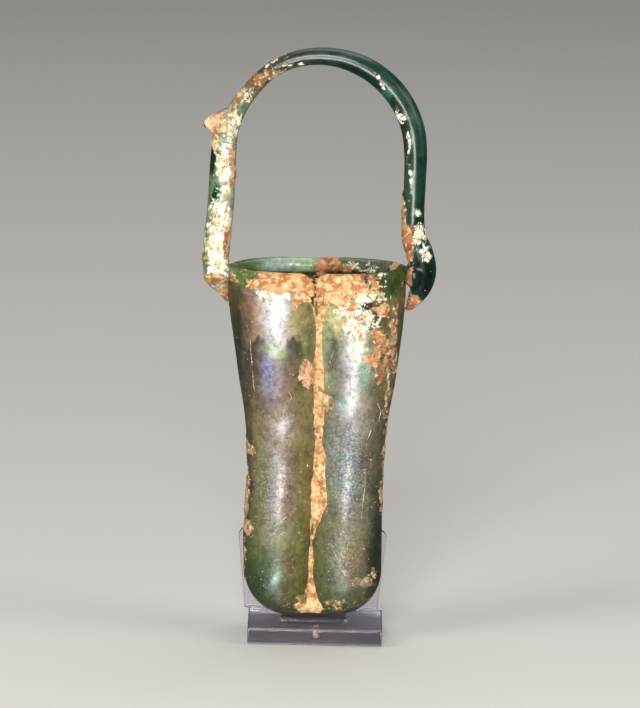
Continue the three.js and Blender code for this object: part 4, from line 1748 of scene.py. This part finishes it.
def earth_colour(g: Graph, tone: object) -> Socket:
    """Varies the colour of dry soil: paler where limy, redder in patches, dark in its pits.

    Args:
        g: the material's nodes.
        tone: the soil's own colour.

    Returns:
        The colour.
    """
    for size, detail, stops in (
        (2.6, 4, ((0.38, "#c8a478"), (0.5, "#f2e8d6"), (0.6, "#ffffff"))),
        (0.7, 5, ((0.3, "#8a745e"), (0.37, "#e4dacc"), (0.55, "#ffffff"))),
    ):
        lumps = g.add("TexNoise", {"Detail": detail}, size=size)
        shade = g.add("ValToRGB", (lumps,), stops=stops)
        tone = g.add("Mix", (1.0, tone, shade), **DARKEN)
    tone = g.add("HueSaturation", {"Color": tone, "Saturation": 0.9, "Value": 1.06})
    limy = g.add("TexNoise", {"Detail": 5}, size=1.3)
    limy = g.add("MapRange", (limy, 0.53, 0.64), **SMOOTH)
    limy = g.add("Math", (limy, 0.5), **TIMES)
    return g.add("Mix", (limy, tone, linear("#ecd9b4")), **COLOURS)


@dataclass(frozen=True)
class WeatheredGlass:
    """Green soda-lime glass, free blown, corroded in the ground.

    The corrosion film dulls it to a satin olive with silver, mauve and blue-green fire where the
    film is thin. Soil dries on it matt and orange-tan, and lime flakes off it chalk white.
    """

    pearl: tuple = ("#7468b8", "#a793b4", "#d6c8b8", "#92ad86", "#7fa6b8")
    film_roughness: float = 0.3
    pearl_roughness: float = 0.32
    band_roughness: float = 0.5
    bare_roughness: float = 0.28
    lime_roughness: float = 0.72
    soil_roughness: float = 0.95
    film_transmission: float = 0.14
    bare_transmission: float = 0.85
    pearl_metal: float = 0.3  # how much of the mirror's gleam the thin film gives

    def make(self, name: str, clean: bool) -> bpy.types.Material:
        """Builds the material.

        Args:
            name: the material's name.
            clean: whether it is for the clean faces, which are see-through all over.

        Returns:
            The material.
        """
        g = Graph(name)
        weight = {c: g.add("Attribute", out="Fac", attribute_name=c.value) for c in LAYERS}
        pearly = weight[Cover.PEARL]
        grit, cloud, fleck = (
            g.add("TexNoise", {"Detail": detail}, size=size)
            for size, detail in ((0.6, 4), (4.0, 4), (1.5, 5))
        )
        # Lime lifts off in angular chips about 1.6 mm wide, with cracks between larger plates.
        chip = g.add("TexVoronoi", out="Color", size=1.6)
        chip = g.add("SeparateColor", (chip,), out="Red")
        soil = g.edge(weight[Cover.SOIL], 0.05, (fleck, 1.1), (grit, 0.4))
        lime = g.edge(weight[Cover.LIME], 0.06, (chip, 0.3), (fleck, 1.3))
        lime = self.crack(g, weight[Cover.LIME], lime)
        bare = g.edge(weight[Cover.CLEAR], 0.12, (grit, 0.3))
        cover = g.add("Math", (soil, lime), operation="MAXIMUM")

        film = self.film_colour(g, cloud, fleck)
        colour = self.fire_colour(g, film, pearly)
        depth = g.add("ValToRGB", (cloud,), stops=((0.3, "#8a8a8a"), (0.7, "#ffffff")))
        deep = g.add("Mix", (0.5, film, depth), **DARKEN)
        chalk = g.add("ValToRGB", (g.lean(grit, (chip, 0.35), (fleck, 0.8)),),
                      stops=tuple(zip((0.22, 0.42, 0.58), LIME_TONES)))
        earth = earth_colour(g, g.add("Attribute", attribute_name="earth"))
        for mask, over in ((bare, deep), (lime, chalk), (soil, earth)):
            colour = g.add("Mix", (mask, colour, over), **COLOURS)

        rough: object = self.film_roughness
        for mask, over in (
            (pearly, self.pearl_roughness),
            (weight[Cover.DARK_BAND], self.band_roughness),
            (bare, self.bare_roughness),
            (lime, self.lime_roughness),
            (soil, self.soil_roughness),
        ):
            rough = g.add("Mix", (mask, rough, over))
        see = g.add("Mix", (bare, self.film_transmission, self.bare_transmission))
        see = g.add("Mix", (cover, see, 0.0))
        glint = g.add("Math", (pearly, self.pearl_metal), **TIMES)
        for mask in (bare, cover):
            glint = g.add("Mix", (mask, glint, 0.0))
        shader = g.add("BsdfPrincipled", {
            "Base Color": colour,
            "Roughness": rough,
            "Metallic": glint,
            "Normal": self.relief(g, {"grit": grit, "cloud": cloud, "fleck": fleck, "chip": chip},
                                  bare, lime, soil),
            "IOR": GLASS_IOR,
            "Transmission Weight": self.bare_transmission if clean else see,
        })
        return g.dress(shader)

    def crack(self, g: Graph, weight: Socket, lime: Socket) -> Socket:
        """Cracks the lime into plates where it is thin, and leaves it whole where it is thick.

        Args:
            g: the material's nodes.
            weight: how thick the lime lies.
            lime: the mask of its chips.

        Returns:
            The mask of what is left.
        """
        gap = g.add("TexVoronoi", size=2.6, feature="DISTANCE_TO_EDGE")
        plate = g.add("MapRange", (gap, 0.02, 0.07), **SMOOTH)
        held = g.add("MapRange", (weight, 0.66, 0.84), **SMOOTH)
        thick = g.add("MapRange", (weight, 0.84, 0.92), **SMOOTH)
        plate = g.add("Math", (plate, held), operation="MAXIMUM")
        lime = g.add("Math", (lime, plate), **TIMES)
        return g.add("Math", (lime, thick), operation="MAXIMUM")

    def film_colour(self, g: Graph, cloud: Socket, fleck: Socket) -> Socket:
        """Mottles the corrosion film.

        Args:
            g: the material's nodes.
            cloud: the broad noise.
            fleck: the fine noise.

        Returns:
            The film's colour.
        """
        # The mottling darkens the film, so its own colour is drawn brighter and richer.
        film = g.add("Attribute", attribute_name="film")
        film = g.add("HueSaturation", {"Color": film, "Saturation": 1.1, "Value": 1.22})
        for noise, stops in (
            (cloud, ((0.3, "#8c8c8c"), (0.6, "#ffffff"))),
            (fleck, ((0.35, "#8f8878"), (0.55, "#ffffff"))),
        ):
            shade = g.add("ValToRGB", (noise,), stops=stops)
            film = g.add("Mix", (0.5, film, shade), **DARKEN)
        return film

    def fire_colour(self, g: Graph, film: Socket, pearly: Socket) -> Socket:
        """Lays the iridescence, its dust and pits, the scratches and the specks on the film.

        Args:
            g: the material's nodes.
            film: the film's colour.
            pearly: where the film is thin and iridescent.

        Returns:
            The colour.
        """
        hue = g.add("TexNoise", {"Detail": 3, "Distortion": 1.2}, size=6.0)
        stops = tuple((0.3 + 0.1 * number, tone) for number, tone in enumerate(self.pearl))
        fire = g.add("ValToRGB", (hue,), stops=stops)
        share = g.add("Math", (pearly, 0.24), **TIMES)
        colour = g.add("Mix", (share, film, fire), **COLOURS)
        # Pale dust lies in the finest pits of the iridescent film, and dark ones stay open.
        pits = g.add("TexNoise", {"Detail": 3}, size=0.6)
        # Scratches are a tenth of a millimetre wide, and drawn four times as wide to show.
        turned = g.add("Mapping", {
            "Vector": g.place,
            "Rotation": (0.0, 0.6, 0.0),
            "Scale": tuple(scale_for(size) for size in (0.385, 3.33, 8.33)),
        })
        lines = g.add("TexNoise", {"Vector": turned, "Scale": 1.0, "Detail": 1})
        # Specks of lime are left all over, a quarter to half a millimetre wide.
        spots = g.add("TexVoronoi", size=1.5)
        size = g.add("SeparateColor", (spots.node.outputs["Color"],), out="Green")
        strewn = g.add("MapRange", (size, 0.4, 0.7), **SMOOTH)
        for pattern, low, high, where, share, tint in (
            (pits, 0.54, 0.64, pearly, 0.54, "#d3d6d4"),
            (pits, 0.46, 0.36, pearly, 0.52, "#2f3326"),
            (lines, 0.68, 0.76, 1.0, 0.14, "#c9c2a4"),
            (spots, 0.17, 0.09, strewn, 0.6, "#e8e2cc"),
        ):
            mask = g.add("MapRange", (pattern, low, high), **SMOOTH)
            mask = g.add("Math", (mask, where), **TIMES)
            mask = g.add("Math", (mask, share), **TIMES)
            colour = g.add("Mix", (mask, colour, linear(tint)), **COLOURS)
        return colour

    def relief(
        self, g: Graph, noise: dict[str, Socket], bare: Socket, lime: Socket, soil: Socket
    ) -> Socket:
        """Gives each cover its own fine relief.

        Args:
            g: the material's nodes.
            noise: the noises by name.
            bare: the mask of the clean glass.
            lime: the mask of the lime.
            soil: the mask of the soil.

        Returns:
            The normal.
        """
        fine = g.add("Math", (noise["grit"], 0.08), **TIMES)
        height = g.add("Math", (noise["cloud"], 0.25, fine), operation="MULTIPLY_ADD")
        for mask, pattern, rise, base in (
            (bare, noise["fleck"], 0.3, 0.0),
            (lime, noise["chip"], 0.5, 0.5),
            (soil, noise["fleck"], 0.8, noise["grit"]),
        ):
            over = g.add("Math", (pattern, rise, base), operation="MULTIPLY_ADD")
            height = g.add("Mix", (mask, height, over))
        return g.add("Bump", {"Height": height, "Distance": 0.3 * MM, "Strength": 0.5})


@dataclass(frozen=True)
class BurialSoil:
    """Loamy soil set hard with lime, as dug: dry, matt and crumbly, orange-tan to cream."""

    colour: str
    limy_colour: str = "#e8c486"

    def make(self, name: str) -> bpy.types.Material:
        """Builds the material.

        Args:
            name: the material's name.

        Returns:
            The material.
        """
        g = Graph(name)
        limy = g.add("TexNoise", {"Detail": 4}, size=5.0)
        limy = g.add("MapRange", (limy, 0.4, 0.62), **SMOOTH)
        tone = g.add("Mix", (limy, linear(self.colour), linear(self.limy_colour)), **COLOURS)
        slit = g.add("Attribute", out="Fac", attribute_name="slit")
        # Painted shade: the soil is drawn near black along its cracks.
        colour = g.add("Mix", (slit, earth_colour(g, tone), linear("#2a1c10")), **COLOURS)
        grit = g.add("TexNoise", {"Detail": 5}, size=0.6)
        lumps = g.add("TexNoise", {"Detail": 4}, size=1.5)
        height = g.add("Math", (grit, lumps), operation="ADD")
        bump = g.add("Bump", {"Height": height, "Distance": 0.3 * MM, "Strength": 0.6})
        shader = g.add("BsdfPrincipled", {"Base Color": colour, "Roughness": 0.95, "Normal": bump})
        return g.dress(shader)


@dataclass(frozen=True)
class LimeCrust:
    """Chalky lime left by ground water: matt, off-white, grey-tan in its pits."""

    roughness: float = 0.8

    def make(self, name: str) -> bpy.types.Material:
        """Builds the material.

        Args:
            name: the material's name.

        Returns:
            The material.
        """
        g = Graph(name)
        grit = g.add("TexNoise", {"Detail": 4}, size=0.5)
        colour = g.add("ValToRGB", (grit,), stops=tuple(zip((0.34, 0.46, 0.6), LIME_TONES)))
        bump = g.add("Bump", {"Height": grit, "Distance": 0.2 * MM, "Strength": 0.6})
        shader = g.add("BsdfPrincipled", {
            "Base Color": colour, "Roughness": self.roughness, "Normal": bump,
        })
        return g.dress(shader)


@dataclass(frozen=True)
class ClearAcrylic:
    """Cast acrylic sheet, saw cut and flame polished: water clear with fine scratches, and a faint
    mauve tint that is a painted reflection.
    """

    # The faint mauve of the tint is a painted reflection.
    tint: str = "#eee8f5"
    ior: float = 1.49
    roughness: float = 0.03

    def make(self) -> bpy.types.Material:
        """Builds the material.

        Returns:
            The material.
        """
        g = Graph("clear acrylic")
        # Scratches are a tenth of a millimetre wide on the real one, and three times that here.
        along = g.add("Mapping", {"Vector": g.place, "Scale": (1, 6, 6)})
        scratch = g.add("TexNoise", {"Vector": along, "Scale": scale_for(2), "Detail": 2})
        bump = g.add("Bump", {"Height": scratch, "Distance": 0.03 * MM, "Strength": 0.4})
        shader = g.add("BsdfPrincipled", {
            "Base Color": linear(self.tint),
            "Roughness": self.roughness,
            "Normal": bump,
            "IOR": self.ior,
            "Transmission Weight": 1.0,
        })
        return g.dress(shader)


# ---- Studio, in metres ---------------------------------------------------------------------


@dataclass(frozen=True)
class StudioFloor:
    """Pale matt paper that the stand is on."""

    colour: str = "#d9d6d1"
    roughness: float = 0.9
    size: float = 8.0
    drop: float = 0.3 * MM  # so that light gets under the clear block

    def build(self) -> bpy.types.Object:
        """Lays the floor under the stand.

        Returns:
            The floor.
        """
        g = Graph("pale paper")
        fibre = g.add("TexNoise", {"Detail": 2}, size=1.11)
        bump = g.add("Bump", {"Height": fibre, "Distance": 0.05 * MM, "Strength": 0.2})
        shader = g.add("BsdfPrincipled", {
            "Base Color": linear(self.colour), "Roughness": self.roughness, "Normal": bump,
        })
        half = self.size / 2
        corners = [(x * half, y * half, -self.drop) for x, y in ((-1, -1), (1, -1), (1, 1), (-1, 1))]
        floor = mesh_object("floor", np.array(corners) / MM, [[0, 1, 2, 3]])
        floor.data.materials.append(g.dress(shader))
        # Dark cards lie about the glass in such a studio, so the paper isn't mirrored in it.
        floor.visible_glossy = False
        return floor


@dataclass(frozen=True)
class StudioLight:
    """One soft light: where it stands, its size, its power in watts, and whether it glints."""

    name: str
    place: tuple[float, float, float]
    size: tuple[float, float]
    power: float
    glossy: bool = True

    def build(self, aim: Vector) -> None:
        """Hangs the light and turns it to the object.

        Args:
            aim: what the light is turned to.
        """
        lamp = bpy.data.lights.new(self.name, "AREA")
        lamp.shape = "RECTANGLE"
        lamp.size, lamp.size_y = self.size
        lamp.energy = self.power
        holder = bpy.data.objects.new(self.name, lamp)
        holder.location = Vector(self.place)
        holder.rotation_euler = (aim - holder.location).to_track_quat("-Z", "Y").to_euler()
        holder.visible_glossy = self.glossy
        bpy.context.scene.collection.objects.link(holder)


@dataclass(frozen=True)
class View:
    """A long lens a little above the object, rolled slightly. Its angles are in degrees."""

    distance: float = 2.1
    elevation: float = 10.75
    roll: float = 1.4
    lens: float = 355.9  # mm, on a sensor 36 mm wide
    sensor: float = 36.0
    aim: tuple[float, float, float] = (-0.00045, 0.0, 0.0862)

    def build(self) -> None:
        """Sets up the camera."""
        tilt = math.radians(self.elevation)
        ahead = Vector((0, math.cos(tilt), -math.sin(tilt)))
        data = bpy.data.cameras.new("camera")
        data.lens = self.lens
        data.sensor_width = self.sensor
        camera = bpy.data.objects.new("camera", data)
        camera.location = Vector(self.aim) - ahead * self.distance
        camera.rotation_mode = "QUATERNION"
        turn = Quaternion((0, 0, 1), math.radians(self.roll))
        camera.rotation_quaternion = ahead.to_track_quat("-Z", "Y") @ turn
        bpy.context.scene.collection.objects.link(camera)
        bpy.context.scene.camera = camera


@dataclass(frozen=True)
class Studio:
    """The floor, the soft lights, a dim grey surround and the camera."""

    lights: tuple[StudioLight, ...] = (
        StudioLight("low front softbox", (-0.05, -0.6, 0.05), (0.12, 0.09), 1.6),
        StudioLight("high front softbox", (-0.1, -1.0, 0.5), (0.3, 0.3), 6.5),
        StudioLight("left key", (-0.9, -0.6, 0.8), (0.5, 0.8), 6.0, False),
        StudioLight("right fill", (0.9, -0.3, 0.5), (0.5, 0.8), 4.0, False),
        StudioLight("overhead", (0.1, 0.6, 1.6), (1.4, 1.4), 11.0),
    )
    aim: tuple[float, float, float] = (0, 0, 0.09)
    surround: str = "#e6e3de"
    strength: float = 0.12

    def build(self) -> None:
        """Sets everything up round the object."""
        View().build()
        report(StudioFloor().build())
        world = bpy.data.worlds.new("studio")
        world.use_nodes = True
        back = world.node_tree.nodes["Background"]
        back.inputs["Color"].default_value = linear(self.surround)
        back.inputs["Strength"].default_value = self.strength
        bpy.context.scene.world = world
        for light in self.lights:
            light.build(Vector(self.aim))
        bpy.context.scene.view_settings.view_transform = "Standard"


# ---- Everything in order -------------------------------------------------------------------


def report(piece: bpy.types.Object) -> None:
    """Logs a piece's name and its number of faces."""
    LOG.info("%s: %d faces", piece.name, len(piece.data.polygons))


def main() -> None:
    """Builds every piece in order, inside the studio."""
    logging.basicConfig(level=logging.INFO, format="%(name)s %(message)s")
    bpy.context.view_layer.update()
    Studio().build()

    glass = WeatheredGlass()
    flask = GlassFlask()
    flask.build()
    flask.weather()
    flask.place()
    flask.dress(glass.make("weathered glass", False), glass.make("bare glass", True))
    report(flask.piece)

    soil = BurialSoil("#dfb06c").make("burial soil")
    grit = BurialSoil("#c6a678").make("grey burial soil")
    lime = LimeCrust().make("lime crust")
    for crust, cover in (
        (FoldCrust("front_fold_crust", Face.FRONT, flask.tubes, FRONT_FOLD, 11, FRONT_SLITS), soil),
        (FoldCrust("back_fold_crust", Face.BACK, flask.tubes, BACK_FOLD, 29), soil),
        (Crumbs("soil_crumbs", flask.tubes, SOIL_CRUMBS, 5), grit),
        (Crumbs("lime_crumbs", flask.tubes, LIME_CRUMBS, 8), lime),
        (FilmEdges("film_edges", flask.tubes, EDGE_LINES), lime),
    ):
        piece = crust.build()
        piece.data.transform(flask.matrix)
        piece.data.materials.append(cover)
        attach(piece, BODY)
        report(piece)

    bead = PaleBead().build()
    bead.data.materials.append(LimeCrust().make("pale drop"))
    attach(bead, BODY)
    report(bead)

    acrylic = ClearAcrylic().make()
    for name in ("base_block", "foot_pad", "back_plate"):
        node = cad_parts[name]
        node.data.materials.clear()
        node.data.materials.append(acrylic)
        report(node)


if __name__ == "__main__":
    main()
